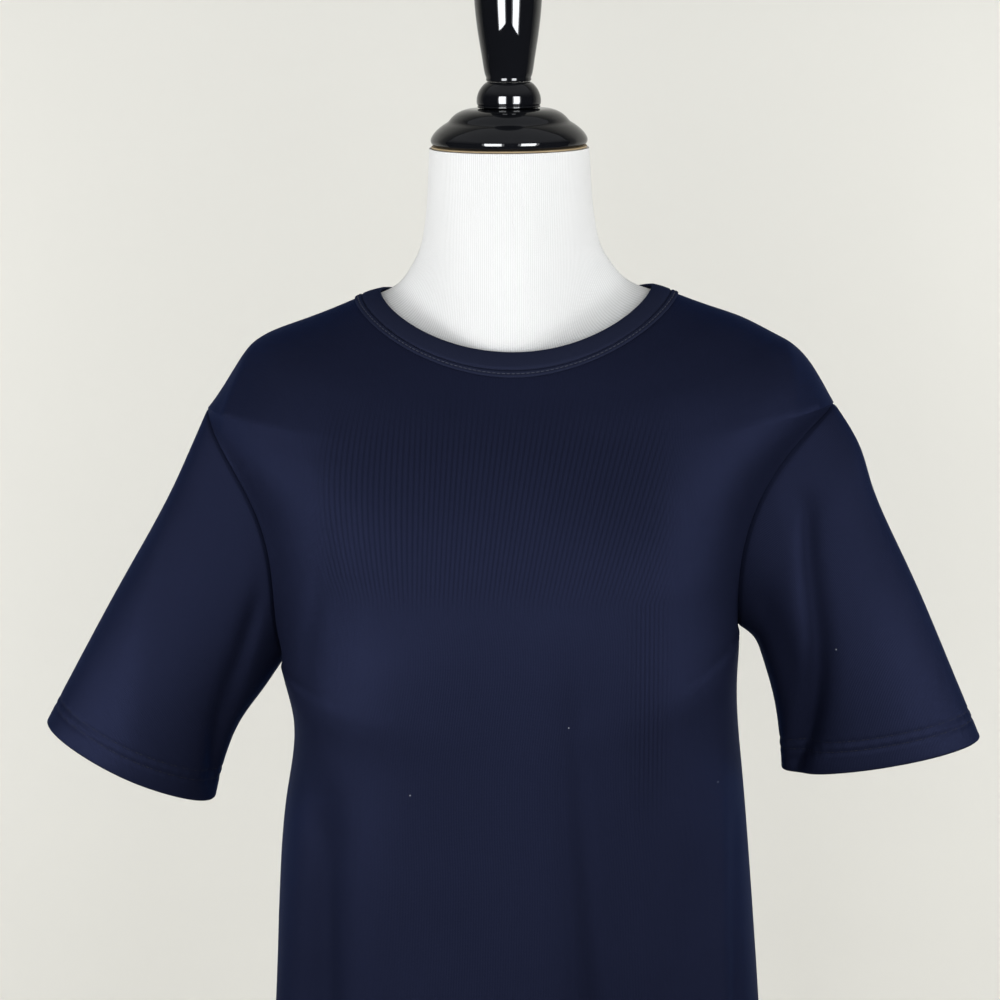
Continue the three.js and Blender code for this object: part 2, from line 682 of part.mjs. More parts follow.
// Neck cap and finial, turned on the neck's tilted axis.
const neckTop = new THREE.Group();
neckTop.position.set(cap.x, cap.y, cap.z);
neckTop.rotation.x = cap.tilt * radians;
garment.add(neckTop);
addMesh(neckTop, 'cap_seat', turnedGeometry([[0, 0.3], [54.4, 0.3], [54.4, 1.5], [0, 1.5]]), tan);
addMesh(neckTop, 'neck_cap', turnedGeometry([
  [0, 1.8], [52.6, 1.8], [54.3, 3.2], [54.9, 5.4], [54.2, 7.8], [51.4, 11.6], [46.6, 15.6],
  [42.6, 18], [41.4, 19.3], [39.8, 21.2], [36.5, 23.9], [31.5, 26.2], [26, 27], [0, 27],
]), gloss);
addMesh(neckTop, 'finial_collar', turnedGeometry([
  [0, 27.3], [20.2, 27.3], [21.6, 27.7], [22, 28.4], [21.3, 29], [22.2, 29.8], [22.4, 32.5],
  [22.2, 34.6], [21.4, 37.4], [20, 40.2], [18, 42.7], [16.4, 44.1], [14.6, 44.9], [0, 44.9],
]), gloss);
addMesh(neckTop, 'finial', turnedGeometry([
  [0, 45.2], [14.8, 45.2], [15.5, 46], [15.5, 47.4], [16.3, 49.5], [17.1, 53], [18.6, 63],
  [20.3, 73], [21.7, 83], [22.7, 92], [23.4, 102], [23.9, 110], [23.9, 117], [22.6, 124.5],
  [18.8, 130.6], [11.5, 134.2], [0, 135],
]), gloss);

// Stand on the table: a round base, a socket on it, a pole, and a plate under the form.
const plateTop = neckPoint + formEnd.at(-1).z - seamGap;
const plateFoot = plateTop - stand.plateHeight;
const poleFoot = stand.socketTop + seamGap;
const socketFoot = stand.domeHeight + seamGap;
addMesh(group, 'pole_plate', turnedGeometry([
  [0, plateFoot], [stand.plateRadius - 1, plateFoot], [stand.plateRadius, plateFoot + 1],
  [stand.plateRadius, plateTop], [0, plateTop],
]), satinBlack);
addMesh(group, 'pole', turnedGeometry([
  [0, poleFoot], [stand.poleRadius, poleFoot], [stand.poleRadius, plateFoot - seamGap],
  [0, plateFoot - seamGap],
]), satinBlack);
addMesh(group, 'pole_socket', turnedGeometry([
  [0, socketFoot], [stand.socketRadius, socketFoot], [stand.socketRadius - 6, stand.socketTop - 3],
  [stand.socketRadius - 9, stand.socketTop], [0, stand.socketTop],
]), satinBlack);
addMesh(group, 'base', turnedGeometry([
  [0, 0], [stand.baseRadius - 3, 0], [stand.baseRadius, 3], [stand.baseRadius, stand.rimHeight - 4],
  [stand.baseRadius - 4, stand.rimHeight], [60, stand.domeHeight - 1], [40, stand.domeHeight],
  [0, stand.domeHeight],
]), satinBlack);

export default group;
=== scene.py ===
# Short-sleeved crew-neck pyjama top in thick smooth knit, worn by a limbless dress form.
# Garment shapes are worked out in millimetres from the neck point, where the shoulder seam
# meets the neckband, and are moved into the frame's metres when a mesh is made.
import math

import bpy
import numpy as np
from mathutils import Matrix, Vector


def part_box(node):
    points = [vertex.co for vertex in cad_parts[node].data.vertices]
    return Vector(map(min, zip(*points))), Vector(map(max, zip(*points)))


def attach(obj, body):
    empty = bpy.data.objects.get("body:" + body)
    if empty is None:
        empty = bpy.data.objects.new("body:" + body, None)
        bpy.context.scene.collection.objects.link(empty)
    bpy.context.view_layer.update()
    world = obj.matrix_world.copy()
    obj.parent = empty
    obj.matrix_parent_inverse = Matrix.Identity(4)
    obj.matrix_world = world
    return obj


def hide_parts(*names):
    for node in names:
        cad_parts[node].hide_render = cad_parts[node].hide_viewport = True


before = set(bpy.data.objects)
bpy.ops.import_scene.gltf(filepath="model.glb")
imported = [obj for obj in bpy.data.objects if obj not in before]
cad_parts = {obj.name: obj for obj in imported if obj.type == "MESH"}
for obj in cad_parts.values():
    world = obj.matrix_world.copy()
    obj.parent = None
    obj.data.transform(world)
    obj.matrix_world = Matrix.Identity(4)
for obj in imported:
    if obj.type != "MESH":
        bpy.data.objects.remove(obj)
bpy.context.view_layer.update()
print("frame loaded")


garment = {
    "hemHeight": -645.0,    # from the neck point
    "clothWall": 1.6,       # one layer of double knit
    "hemWall": 3.2,         # the same cloth folded up on itself
    "hemFold": 22.0,        # height of the folded hem
    "seamGap": 0.3,
    "formGap": 0.7,         # clearance between cloth and form
    "formEase": 2.6,        # and how much more there is away from the seams
}
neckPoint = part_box("front")[0].z * 1000 - garment["hemHeight"]    # its height over the floor


def curve(table, key, name):
    # natural cubic spline: the bends M solve h0 M0 + 2 (h0 + h1) M1 + h1 M2 = 6 (slope1 - slope0),
    # and a value is a y0 + b y1 + ((a^3 - a) M0 + (b^3 - b) M1) h^2 / 6
    x = np.array(table[key], float)
    y = np.array(table[name], float)
    span = np.diff(x)
    slope = np.diff(y) / span
    matrix = np.eye(len(x))
    right = np.zeros(len(x))
    inner = np.arange(1, len(x) - 1)
    matrix[inner, inner - 1] = span[:-1]
    matrix[inner, inner] = 2 * (span[:-1] + span[1:])
    matrix[inner, inner + 1] = span[1:]
    right[inner] = 6 * (slope[1:] - slope[:-1])
    bend = np.linalg.solve(matrix, right)

    def at(value):
        value = np.asarray(value, float)
        i = np.clip(np.searchsorted(x, value) - 1, 0, len(x) - 2)
        a = (x[i + 1] - value) / span[i]
        b = 1 - a
        cubic = (a ** 3 - a) * bend[i] + (b ** 3 - b) * bend[i + 1]
        return a * y[i] + b * y[i + 1] + cubic * span[i] ** 2 / 6

    return at


def mix(a, b, share):
    return a + (b - a) * share


def smooth(value):
    t = np.clip(value, 0, 1)
    return t * t * (3 - 2 * t)


def unit(vectors):
    return vectors / np.maximum(np.linalg.norm(vectors, axis=-1, keepdims=True), 1e-9)


def stack(x, y, z):
    return np.stack(np.broadcast_arrays(x, y, z), axis=-1).astype(float)


def sampled(at, steps, values):
    # rows of three values, read at places between the steps
    return np.stack([np.interp(at, steps, values[:, k]) for k in range(3)], -1)


def gridNormals(points, outward, closed=False):
    # the cross product of the steps across and along a grid
    if closed:
        across = np.roll(points, -1, 1) - np.roll(points, 1, 1)
    else:
        across = np.gradient(points, axis=1)
    return unit(np.cross(across, np.gradient(points, axis=0))) * outward


def lengthsAlong(points, axis):
    # distance walked along a grid's lines, from the first
    steps = np.linalg.norm(np.diff(points, axis=axis), axis=-1)
    start = np.zeros_like(np.take(steps, [0], axis=axis))
    return np.concatenate([start, np.cumsum(steps, axis=axis)], axis=axis)


def lengthsRound(points):
    # the same round rows that close, with one more column where each is back at its start
    return lengthsAlong(np.concatenate([points, points[:, :1]], 1), 1)


def newObject(name, data):
    made = bpy.data.objects.new(name, data)
    bpy.context.scene.collection.objects.link(made)
    return made


def meshPiece(name, points, faces, corners=None, maps=None, material=None):
    # points in millimetres from the neck point; faces index them; corners index the maps' rows
    mesh = bpy.data.meshes.new(name)
    place = (points + np.array([0, 0, neckPoint])) * 0.001
    mesh.from_pydata(place.tolist(), [], faces)
    for mapName, values in (maps or {}).items():
        layer = mesh.uv_layers.new(name=mapName)
        layer.data.foreach_set("uv", values[corners].astype(np.float32).ravel())
    mesh.polygons.foreach_set("use_smooth", np.ones(len(mesh.polygons), bool))
    mesh.validate()
    mesh.set_sharp_from_angle(angle=math.radians(50))
    mesh.materials.append(material)
    return newObject(name, mesh)


def placed(piece, slotName, *nodes):
    # every piece rides on the one body, and takes the place of the nodes named
    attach(piece, "root")
    if nodes:
        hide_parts(*nodes)
    return piece


def gridQuads(rowCount, columnCount, closeRows, closeColumns):
    # row and column of each corner of a grid's faces; where it closes, they run on past its last
    # row or column
    rowSteps = np.arange(rowCount if closeRows else rowCount - 1)[:, None]
    columnSteps = np.arange(columnCount if closeColumns else columnCount - 1)[None, :]
    rows = np.stack(np.broadcast_arrays(rowSteps, rowSteps, rowSteps + 1, rowSteps + 1), -1)
    columns = np.stack(
        np.broadcast_arrays(columnSteps, columnSteps + 1, columnSteps + 1, columnSteps), -1)
    rows, columns = np.broadcast_arrays(rows, columns)
    return rows.reshape(-1, 4), columns.reshape(-1, 4)


def facesOutward(points, quads, outward):
    # whether the faces look along the directions given, taken together
    corner = points[quads]
    looks = np.cross(corner[:, 2] - corner[:, 0], corner[:, 3] - corner[:, 1])
    return (looks * outward).sum() > 0


def wrapCloth(name, outer, normals, wall, maps, closed):
    # Cloth as one closed skin: the outer rows from seam to free edge, a half circle
    # M + n r cos a + t r sin a round that edge, and the inner rows O - n wall back to the seam.
    edgeRadius = wall[-1] / 2
    ahead = unit(outer[-1] - outer[-2])
    middle = outer[-1] - normals[-1] * edgeRadius
    turns = np.linspace(0, math.pi, 8)[1:-1, None, None]
    arc = middle + (normals[-1] * np.cos(turns) + ahead * np.sin(turns)) * edgeRadius
    inner = outer - normals * wall[:, None, None]
    skin = np.concatenate([outer, arc, inner[::-1]])
    rowCount, columnCount = skin.shape[:2]
    rows, columns = gridQuads(rowCount, columnCount, True, closed)
    quads = (rows % rowCount) * columnCount + columns % columnCount
    # maps have one more column than a closed piece, so that they don't jump at its seam
    corners = (rows % rowCount) * (columnCount + closed) + columns
    if not closed:
        # the skin's two side edges are closed by faces from its outer rows to its inner ones
        near = np.arange(rowCount // 2 - 1)
        far = rowCount - 1 - near
        last = columnCount - 1
        first = np.stack([near, near + 1, far - 1, far], 1) * columnCount
        other = np.stack([near + 1, near, far, far - 1], 1) * columnCount + last
        quads = np.concatenate([quads, first, other])
        corners = np.concatenate([corners, first, other])
    points = skin.reshape(-1, 3)
    firstRow = slice(0, columnCount - 1)
    if not facesOutward(points, quads[firstRow], normals[0, firstRow]):
        quads, corners = quads[:, ::-1], corners[:, ::-1]
    skins = {}
    for mapName, values in maps.items():
        edge = np.repeat(values[-1:], len(arc), axis=0)
        skins[mapName] = np.concatenate([values, edge, values[::-1]]).reshape(-1, 2)
    return meshPiece(name, points, quads.tolist(), corners.ravel(), skins, materials["knit"])


def tubePiece(name, rings, mapValues, material, ends, inside):
    # A tube of rings, each closed round, that closes to two poles. The map has one more column
    # than the rings, and inside is a point that the faces look away from.
    rowCount, columnCount = rings.shape[:2]
    rows, columns = gridQuads(rowCount, columnCount, False, True)
    quads = rows * columnCount + columns % columnCount
    corners = rows * (columnCount + 1) + columns
    uv = mapValues.reshape(-1, 2)
    uv = np.concatenate([uv, uv[:1], uv[-1:]])
    points = np.concatenate([rings.reshape(-1, 3), np.array(ends, float)])
    step = np.arange(columnCount)
    after = (step + 1) % columnCount
    top = (rowCount - 1) * columnCount
    mapTop = (rowCount - 1) * (columnCount + 1)
    pole = np.full_like(step, len(points) - 2)
    mapPole = np.full_like(step, len(uv) - 2)
    caps = np.concatenate([
        np.stack([after, step, pole], 1), np.stack([top + step, top + after, pole + 1], 1)])
    capCorners = np.concatenate([
        np.stack([step + 1, step, mapPole], 1),
        np.stack([mapTop + step, mapTop + step + 1, mapPole + 1], 1)])
    if not facesOutward(points, quads, points[quads].mean(1) - np.array(inside)):
        quads, corners = quads[:, ::-1], corners[:, ::-1]
        caps, capCorners = caps[:, ::-1], capCorners[:, ::-1]
    corners = np.concatenate([corners.ravel(), capCorners.ravel()])
    return meshPiece(name, points, quads.tolist() + caps.tolist(), corners, {"cloth": uv}, material)


def shaderGroup(name, inputs, outputs):
    tree = bpy.data.node_groups.new(name, "ShaderNodeTree")
    for socket, kind, value in inputs:
        made = tree.interface.new_socket(name=socket, in_out="INPUT", socket_type=kind)
        if value is not None:
            made.default_value = value
    for socket, kind in outputs:
        tree.interface.new_socket(name=socket, in_out="OUTPUT", socket_type=kind)
    return tree, tree.nodes.new("NodeGroupInput"), tree.nodes.new("NodeGroupOutput")


def feed(tree, socket, value):
    # another node's output is linked to the socket, and a plain value is set on it
    if hasattr(value, "links"):
        tree.links.new(value, socket)
    else:
        socket.default_value = value


def mathNode(tree, operation, *values, clamp=False):
    node = tree.nodes.new("ShaderNodeMath")
    node.operation = operation
    node.use_clamp = clamp
    for socket, value in zip(node.inputs, values):
        feed(tree, socket, value)
    return node.outputs[0]


def rangeNode(tree, value, low, high, toLow=0.0, toHigh=1.0):
    node = tree.nodes.new("ShaderNodeMapRange")
    node.interpolation_type = "SMOOTHSTEP"
    given = {"Value": value, "From Min": low, "From Max": high, "To Min": toLow, "To Max": toHigh}
    for socket, number in given.items():
        feed(tree, node.inputs[socket], number)
    return node.outputs["Result"]


def colourMix(tree, share, first, second):
    node = tree.nodes.new("ShaderNodeMix")
    node.data_type = "RGBA"
    for number, value in ((0, share), (6, first), (7, second)):
        feed(tree, node.inputs[number], value)
    return node.outputs[2]


def noiseNode(tree, place, scale, detail):
    node = tree.nodes.new("ShaderNodeTexNoise")
    given = {"Vector": place, "Scale": scale, "Detail": detail}
    for socket, value in given.items():
        feed(tree, node.inputs[socket], value)
    return node.outputs["Fac"]


def axesOf(tree, vector):
    node = tree.nodes.new("ShaderNodeSeparateXYZ")
    tree.links.new(vector, node.inputs[0])
    return node.outputs


floatSocket, vectorSocket = "NodeSocketFloat", "NodeSocketVector"


def walesGroup():
    # fine upright ribs of a knit: height |sin(pi u / pitch)|^0.7, broken into loops by
    # sin(2 pi v / course), with u wandering a little on a slow noise
    tree, given, out = shaderGroup(
        "knitWales",
        [("Map", vectorSocket, None), ("Pitch", floatSocket, 1.1), ("Course", floatSocket, 0.9),
         ("Loops", floatSocket, 0.3), ("Wander", floatSocket, 0.5)],
        [("Height", floatSocket), ("Shade", floatSocket)])
    slow = noiseNode(tree, given.outputs["Map"], 0.02, 1.0)
    axes = axesOf(tree, given.outputs["Map"])
    drift = mathNode(tree, "MULTIPLY", mathNode(tree, "SUBTRACT", slow, 0.5), given.outputs["Wander"])
    u = mathNode(tree, "DIVIDE", mathNode(tree, "ADD", axes[0], drift), given.outputs["Pitch"])
    ridge = mathNode(tree, "ABSOLUTE", mathNode(tree, "SINE", mathNode(tree, "MULTIPLY", u, math.pi)))
    ridge = mathNode(tree, "POWER", ridge, 0.7)
    v = mathNode(tree, "DIVIDE", axes[1], given.outputs["Course"])
    loop = mathNode(tree, "SINE", mathNode(tree, "MULTIPLY", v, 2 * math.pi))
    loop = mathNode(tree, "MULTIPLY", loop, given.outputs["Loops"])
    height = mathNode(tree, "MULTIPLY_ADD", mathNode(tree, "MULTIPLY", loop, ridge), 0.5, ridge)
    tree.links.new(height, out.inputs["Height"])
    # Shade is painted shade: the colour it drives is darker in the hollows between the ribs
    tree.links.new(rangeNode(tree, ridge, 0.15, 0.9), out.inputs["Shade"])
    return tree


def toneGroup():
    # slow uneven tone of dyed yarn: a coarse noise and a fine one
    tree, given, out = shaderGroup(
        "yarnTone",
        [("Place", vectorSocket, None), ("Cloud", floatSocket, 14.0), ("Fleck", floatSocket, 900.0)],
        [("Cloud", floatSocket), ("Fleck", floatSocket)])
    for socket, detail in (("Cloud", 3.0), ("Fleck", 1.0)):
        noise = noiseNode(tree, given.outputs["Place"], given.outputs[socket], detail)
        tree.links.new(noise, out.inputs[socket])
    return tree


def lintGroup():
    # sparse specks: a cell's middle, where a random number drawn for the cell is high enough
    tree, given, out = shaderGroup(
        "lint",
        [("Place", vectorSocket, None), ("Cells", floatSocket, 60.0), ("Size", floatSocket, 0.03),
         ("Rarity", floatSocket, 0.6)],
        [("Mask", floatSocket)])
    cells = tree.nodes.new("ShaderNodeTexVoronoi")
    tree.links.new(given.outputs["Place"], cells.inputs["Vector"])
    tree.links.new(given.outputs["Cells"], cells.inputs["Scale"])
    near = mathNode(tree, "LESS_THAN", cells.outputs["Distance"], given.outputs["Size"])
    drawn = tree.nodes.new("ShaderNodeSeparateColor")
    tree.links.new(cells.outputs["Color"], drawn.inputs[0])
    rare = mathNode(tree, "GREATER_THAN", drawn.outputs[0], given.outputs["Rarity"])
    tree.links.new(mathNode(tree, "MULTIPLY", near, rare), out.inputs["Mask"])
    return tree


knitWales, yarnTone, lint = walesGroup(), toneGroup(), lintGroup()


def newMaterial(name, rough, **values):
    material = bpy.data.materials.new(name)
    material.use_nodes = True
    tree = material.node_tree
    shader = tree.nodes["Principled BSDF"]
    shader.inputs["Roughness"].default_value = rough
    for socket, value in values.items():
        shader.inputs[socket.replace("_", " ")].default_value = value
    return material, tree, shader


def placeGroup(tree, group, **values):
    node = tree.nodes.new("ShaderNodeGroup")
    node.node_tree = group
    for socket, value in values.items():
        feed(tree, node.inputs[socket], value)
    return node


def colourAndBump(tree, shader, base, height, distance):
    tree.links.new(base, shader.inputs["Base Color"])
    bump = tree.nodes.new("ShaderNodeBump")
    bump.inputs["Distance"].default_value = distance
    tree.links.new(height, bump.inputs["Height"])
    tree.links.new(bump.outputs["Normal"], shader.inputs["Normal"])


def mapNode(tree, name):
    node = tree.nodes.new("ShaderNodeUVMap")
    node.uv_map = name
    return node.outputs[0]


def objectPlace(tree):
    return tree.nodes.new("ShaderNodeTexCoord").outputs["Object"]


knit = {
    "colour": (0.0125, 0.0152, 0.0350, 1),
    # the darker end of the tone, reached by the random cloud and by the painted shade between the
    # wales and in the lines
    "deep": (0.0080, 0.0098, 0.0225, 1),
    "lintColour": (0.32, 0.34, 0.38, 1),
    "roughness": 0.43,
    "shine": 0.48,        # share of light that the smooth yarn throws back in the dye's own colour
    "edgeTint": (0.42, 0.48, 0.72, 1),
    "wale": 1.1,          # millimetres between wales
    "course": 0.9,
    "linePitch": 2.95,    # and between the faint lines over the chest
    # painted shade: lineShare sets how dark the sunk faint lines are painted
    "lineShare": 0.36,    # how dark those lines are
    "lineDepth": 0.6,
    "bump": 0.00012,
}


def knitMaterial():
    # navy double knit: tone = 0.5 + 0.35 cloud + 0.25 painted wale shade, less the faint lines of
    # the second map, with a few specks of lint, and height = wale + 0.5 fleck, less the lines
    material, tree, shader = newMaterial(
        "navyKnit", knit["roughness"], Specular_IOR_Level=0.0, Metallic=knit["shine"],
        Specular_Tint=knit["edgeTint"])
    cloth, place = mapNode(tree, "cloth"), objectPlace(tree)
    wales = placeGroup(tree, knitWales, Map=cloth, Pitch=knit["wale"], Course=knit["course"])
    tone = placeGroup(tree, yarnTone, Place=place)
    specks = placeGroup(tree, lint, Place=place, Cells=48.0, Size=0.022, Rarity=0.72)
    lines = axesOf(tree, mapNode(tree, "lines"))
    turn = mathNode(tree, "MULTIPLY", lines[0], 2 * math.pi / knit["linePitch"])
    wave = mathNode(tree, "MULTIPLY_ADD", mathNode(tree, "SINE", turn), 0.5, 0.5)
    faint = mathNode(tree, "MULTIPLY", mathNode(tree, "POWER", wave, 2.0), lines[1])
    share = mathNode(tree, "MULTIPLY_ADD", tone.outputs["Cloud"], 0.35, 0.5)
    # painted shade: the wale shade darkens the colour in the hollows between the wales
    share = mathNode(tree, "MULTIPLY_ADD", wales.outputs["Shade"], 0.25, share)
    # painted shade: the faint lines are darkened where they are sunk
    darker = mathNode(tree, "MULTIPLY", faint, knit["lineShare"] * 2)
    share = mathNode(tree, "SUBTRACT", share, darker, clamp=True)
    base = colourMix(tree, share, knit["deep"], knit["colour"])
    base = colourMix(tree, specks.outputs["Mask"], base, knit["lintColour"])
    height = mathNode(tree, "MULTIPLY_ADD", tone.outputs["Fleck"], 0.5, wales.outputs["Height"])
    lower = mathNode(tree, "MULTIPLY", faint, knit["lineDepth"])
    height = mathNode(tree, "SUBTRACT", height, lower)
    colourAndBump(tree, shader, base, height, knit["bump"])
    return material


def bandMaterial():
    # the same yarn in a tight smooth rib, painted light making it a shade lighter than the body, and
    # painted shade between its ribs
    material, tree, shader = newMaterial(
        "navyRib", 0.5, Specular_IOR_Level=0.0, Metallic=0.3, Specular_Tint=knit["edgeTint"])
    wales = placeGroup(tree, knitWales, Map=mapNode(tree, "cloth"), Pitch=0.9, Course=0.8)
    tone = placeGroup(tree, yarnTone, Place=objectPlace(tree))
    share = mathNode(tree, "MULTIPLY_ADD", wales.outputs["Shade"], 0.2, 0.3)
    share = mathNode(tree, "MULTIPLY_ADD", tone.outputs["Cloud"], 0.3, share, clamp=True)
    # painted light: the body's yarn made lighter, and painted shade between the ribs through the wale
    # shade
    base = colourMix(tree, share, (0.0125, 0.0150, 0.0320, 1), (0.0180, 0.0215, 0.0430, 1))
    colourAndBump(tree, shader, base, wales.outputs["Height"], 0.00008)
    return material


def threadMaterial(name, dark, light):
    # sewing thread: its tone and its grain both follow the fine noise
    material, tree, shader = newMaterial(name, 0.6, Specular_IOR_Level=0.3)
    tone = placeGroup(tree, yarnTone, Place=objectPlace(tree), Fleck=1500.0)
    base = colourMix(tree, tone.outputs["Fleck"], dark, light)
    colourAndBump(tree, shader, base, tone.outputs["Fleck"], 0.0001)
    return material


def jerseyMaterial():
    # white jersey over the form: very fine upright ribs, with a little painted shade between them
    material, tree, shader = newMaterial(
        "whiteJersey", 0.9, Specular_IOR_Level=0.2, Sheen_Weight=0.15, Sheen_Roughness=0.5)
    wales = placeGroup(tree, knitWales, Map=mapNode(tree, "cloth"), Pitch=1.5, Course=1.1)
    tone = placeGroup(tree, yarnTone, Place=objectPlace(tree))
    # painted shade: the wale shade greys the colour between the ribs
    share = mathNode(tree, "MULTIPLY", wales.outputs["Shade"], 0.75)
    share = mathNode(tree, "MULTIPLY_ADD", tone.outputs["Cloud"], 0.3, share, clamp=True)
    base = colourMix(tree, share, (0.65, 0.64, 0.62, 1), (0.79, 0.785, 0.775, 1))
    colourAndBump(tree, shader, base, wales.outputs["Height"], 0.0002)
    return material


def lacquerMaterial():
    # black lacquer on turned wood: a clear hard coat with a trace of waviness and dust
    material, tree, shader = newMaterial(
        "blackLacquer", 0.12, Specular_IOR_Level=0.0, Coat_Weight=0.75, Coat_Roughness=0.02,
        Coat_IOR=1.5)
    place = objectPlace(tree)
    tone = placeGroup(tree, yarnTone, Place=place, Cloud=30.0, Fleck=1400.0)
    dust = placeGroup(tree, lint, Place=place, Cells=110.0, Size=0.03, Rarity=0.7)
    dusty = mathNode(tree, "MULTIPLY", dust.outputs["Mask"], 0.5)
    base = colourMix(tree, tone.outputs["Cloud"], (0.004, 0.0045, 0.006, 1), (0.008, 0.0085, 0.011, 1))
    base = colourMix(tree, dusty, base, (0.25, 0.25, 0.27, 1))
    rough = mathNode(tree, "MULTIPLY_ADD", tone.outputs["Cloud"], 0.08, 0.12)
    tree.links.new(rough, shader.inputs["Roughness"])
    colourAndBump(tree, shader, base, tone.outputs["Cloud"], 0.0003)
    return material


def edgeMaterial():
    # tan edge under the cap: a fine mottled grain
    material, tree, shader = newMaterial("tanEdge", 0.5, Specular_IOR_Level=0.4)
    grain = noiseNode(tree, objectPlace(tree), 60.0, 4.0)
    base = colourMix(tree, grain, (0.20, 0.14, 0.07, 1), (0.50, 0.38, 0.22, 1))
    colourAndBump(tree, shader, base, grain, 0.0002)
    return material


def standMaterial():
    # satin black powder coat: fine orange peel, slightly worn tone
    material, tree, shader = newMaterial("standBlack", 0.42, Metallic=0.2)
    tone = placeGroup(tree, yarnTone, Place=objectPlace(tree), Cloud=20.0, Fleck=700.0)
    base = colourMix(tree, tone.outputs["Cloud"], (0.011, 0.011, 0.012, 1), (0.020, 0.020, 0.021, 1))
    rough = mathNode(tree, "MULTIPLY_ADD", tone.outputs["Cloud"], 0.15, 0.34)
    tree.links.new(rough, shader.inputs["Roughness"])
    colourAndBump(tree, shader, base, tone.outputs["Fleck"], 0.00015)
    return material


materials = {
    "knit": knitMaterial(), "band": bandMaterial(),
    # painted shade: the hem's thread is darker than the cloth, standing for the shade in its sunk
    # stitch rows
    "shadedHemThread": threadMaterial("shadedHemThread", (0.0045, 0.005, 0.010, 1), (0.009, 0.010, 0.019, 1)),
    # painted highlight: the band's thread is lighter, standing for its stitches catching the light
    "highlitBandThread": threadMaterial("highlitBandThread", (0.024, 0.028, 0.046, 1), (0.055, 0.060, 0.085, 1)),
    "jersey": jerseyMaterial(), "lacquer": lacquerMaterial(), "edge": edgeMaterial(),
    "stand": standMaterial(),
}
print("materials made")

# The cut of the garment. Half widths of the side seams, from hem to underarm:
sideSeam = {
    "up": [0, 0.30, 0.55, 0.75, 0.90, 1],
    "left": [187, 180.5, 174.5, 166.5, 159.5, 169],
    "right": [185, 179, 170.5, 162.5, 157, 158.5],
}
# the shoulder seams, from the sleeve to the neck point
shoulderSeam = {
    "along": [0, 0.17, 0.33, 0.50, 0.67, 0.84, 1],
    "leftX": [224, 211, 197.5, 181.5, 159, 135.5, 110],
    "leftZ": [-84, -66, -46, -31.5, -22.5, -14, -3.5],
    "rightX": [224, 212, 199, 181, 158.5, 134, 108],
    "rightZ": [-78.5, -57.5, -41.5, -30, -18.5, -10, -0.5],
    "y": [3, 3, 2, 1, 0, -3, -6],
}
# depth of the front and back down the middle
centreProfile = {
    "z": [-645, -530, -420, -330, -260, -215, -170, -130, -95, -54, -17],
    "front": [-130, -128, -124, -121, -120.5, -120, -116.5, -106, -92, -73, -56],
    "back": [112, 109, 105, 101, 101, 101, 99, 94, 86, 73, 58],
}
# Rows of a panel: line 0 to 1 follows its side seam, to 2 the armhole, to 3 the shoulder seam.
# Z is a row's height at the middle, turn and square shape its bow, and lift its rise to the edge.
panelRows = {
    "line": [0, 0.5, 1, 1.25, 1.5, 1.75, 2, 2.3, 2.8, 3],
    "frontZ": [-645, -468, -292, -240, -190, -142, -104, -86, -63, -53.5],
    "backZ": [-645, -464, -284, -226, -168, -115, -78, -57, -29, -17],
    "turn": [90, 90, 88, 66, 56, 60, 78, 89, 90, 90],
    "square": [2.2, 2.2, 2.5, 2.6, 2.4, 2.3, 2.2, 2.1, 2, 2],
    "lift": [1, 1, 1, 1, 1, 1, 1, 1, 0.95, 0.78],
}
# Sections of each sleeve from armhole to cuff: the upper and the lower end of its chord, its half
# depth, and how far its front is drawn in towards the body.
sleeveSections = {
    "left": {
        "along": [0, 0.10, 0.25, 0.50, 0.75, 1],
        "outX": [-224, -235, -252, -285, -318, -349.5],
        "outZ": [-84, -108, -144, -202, -260, -317],
        "inX": [-169, -176, -187, -205, -217.5, -225.5],
        "inZ": [-265, -275, -291, -316, -345, -375.5],
        "depth": [38, 40, 43, 46, 46, 45],
        "scoop": [17, 13, 9, 3, 0, 0],
    },
    "right": {
        "along": [0, 0.10, 0.25, 0.50, 0.75, 1],
        "outX": [224, 240.5, 252, 280, 307.5, 334],
        "outZ": [-78.5, -104, -136, -197, -258.5, -319.5],
        "inX": [158.5, 169, 176.5, 185, 190, 192.5],
        "inZ": [-239, -246.5, -261, -289, -317, -346.5],
        "depth": [38, 40, 42, 43, 43, 42],
        "scoop": [24, 20, 14, 5, 0, 0],
    },
}
scoopFocus = {"left": 4, "right": 2.2}    # how narrow the drawn-in stretch is
seamY = 4.0       # depth of the side seams at the hem
sleeveY = 3.0     # and of the sleeves' middle

seamHalf = {side: curve(sideSeam, "up", side) for side in ("left", "right")}
shoulderCurves = {name: curve(shoulderSeam, "along", name) for name in list(shoulderSeam)[1:]}
centreDepth = {face: curve(centreProfile, "z", face) for face in ("front", "back")}
rowCurves = {name: curve(panelRows, "line", name) for name in list(panelRows)[1:]}
sleeveCurves = {
    side: {name: curve(table, "along", name) for name in list(table)[1:]}
    for side, table in sleeveSections.items()
}


def sleevePoint(side, along, angle):
    # ellipse about the chord from the inner point to the outer one: chord (1 + sin a) / 2,
    # y = middle - depth cos a, drawn to the body by scoop |cos a|^focus; -90 is the underarm
    at = sleeveCurves[side]
    along, angle = np.broadcast_arrays(np.asarray(along, float), np.radians(angle))
    outX, outZ, inX, inZ = (at[name](along) for name in ("outX", "outZ", "inX", "inZ"))
    lift, ahead = np.sin(angle), np.cos(angle)
    reach = at["scoop"](along) * np.abs(ahead) ** scoopFocus[side] * np.where(ahead > 0, 1, 0.5)
    length = np.hypot(outX - inX, outZ - inZ)
    toBody = 1 if side == "left" else -1
    x = mix(inX, outX, (1 + lift) / 2) + np.abs(outZ - inZ) / length * reach * toBody
    z = mix(inZ, outZ, (1 + lift) / 2) + np.abs(outX - inX) / length * reach
    return stack(x, sleeveY - at["depth"](along) * ahead, z)


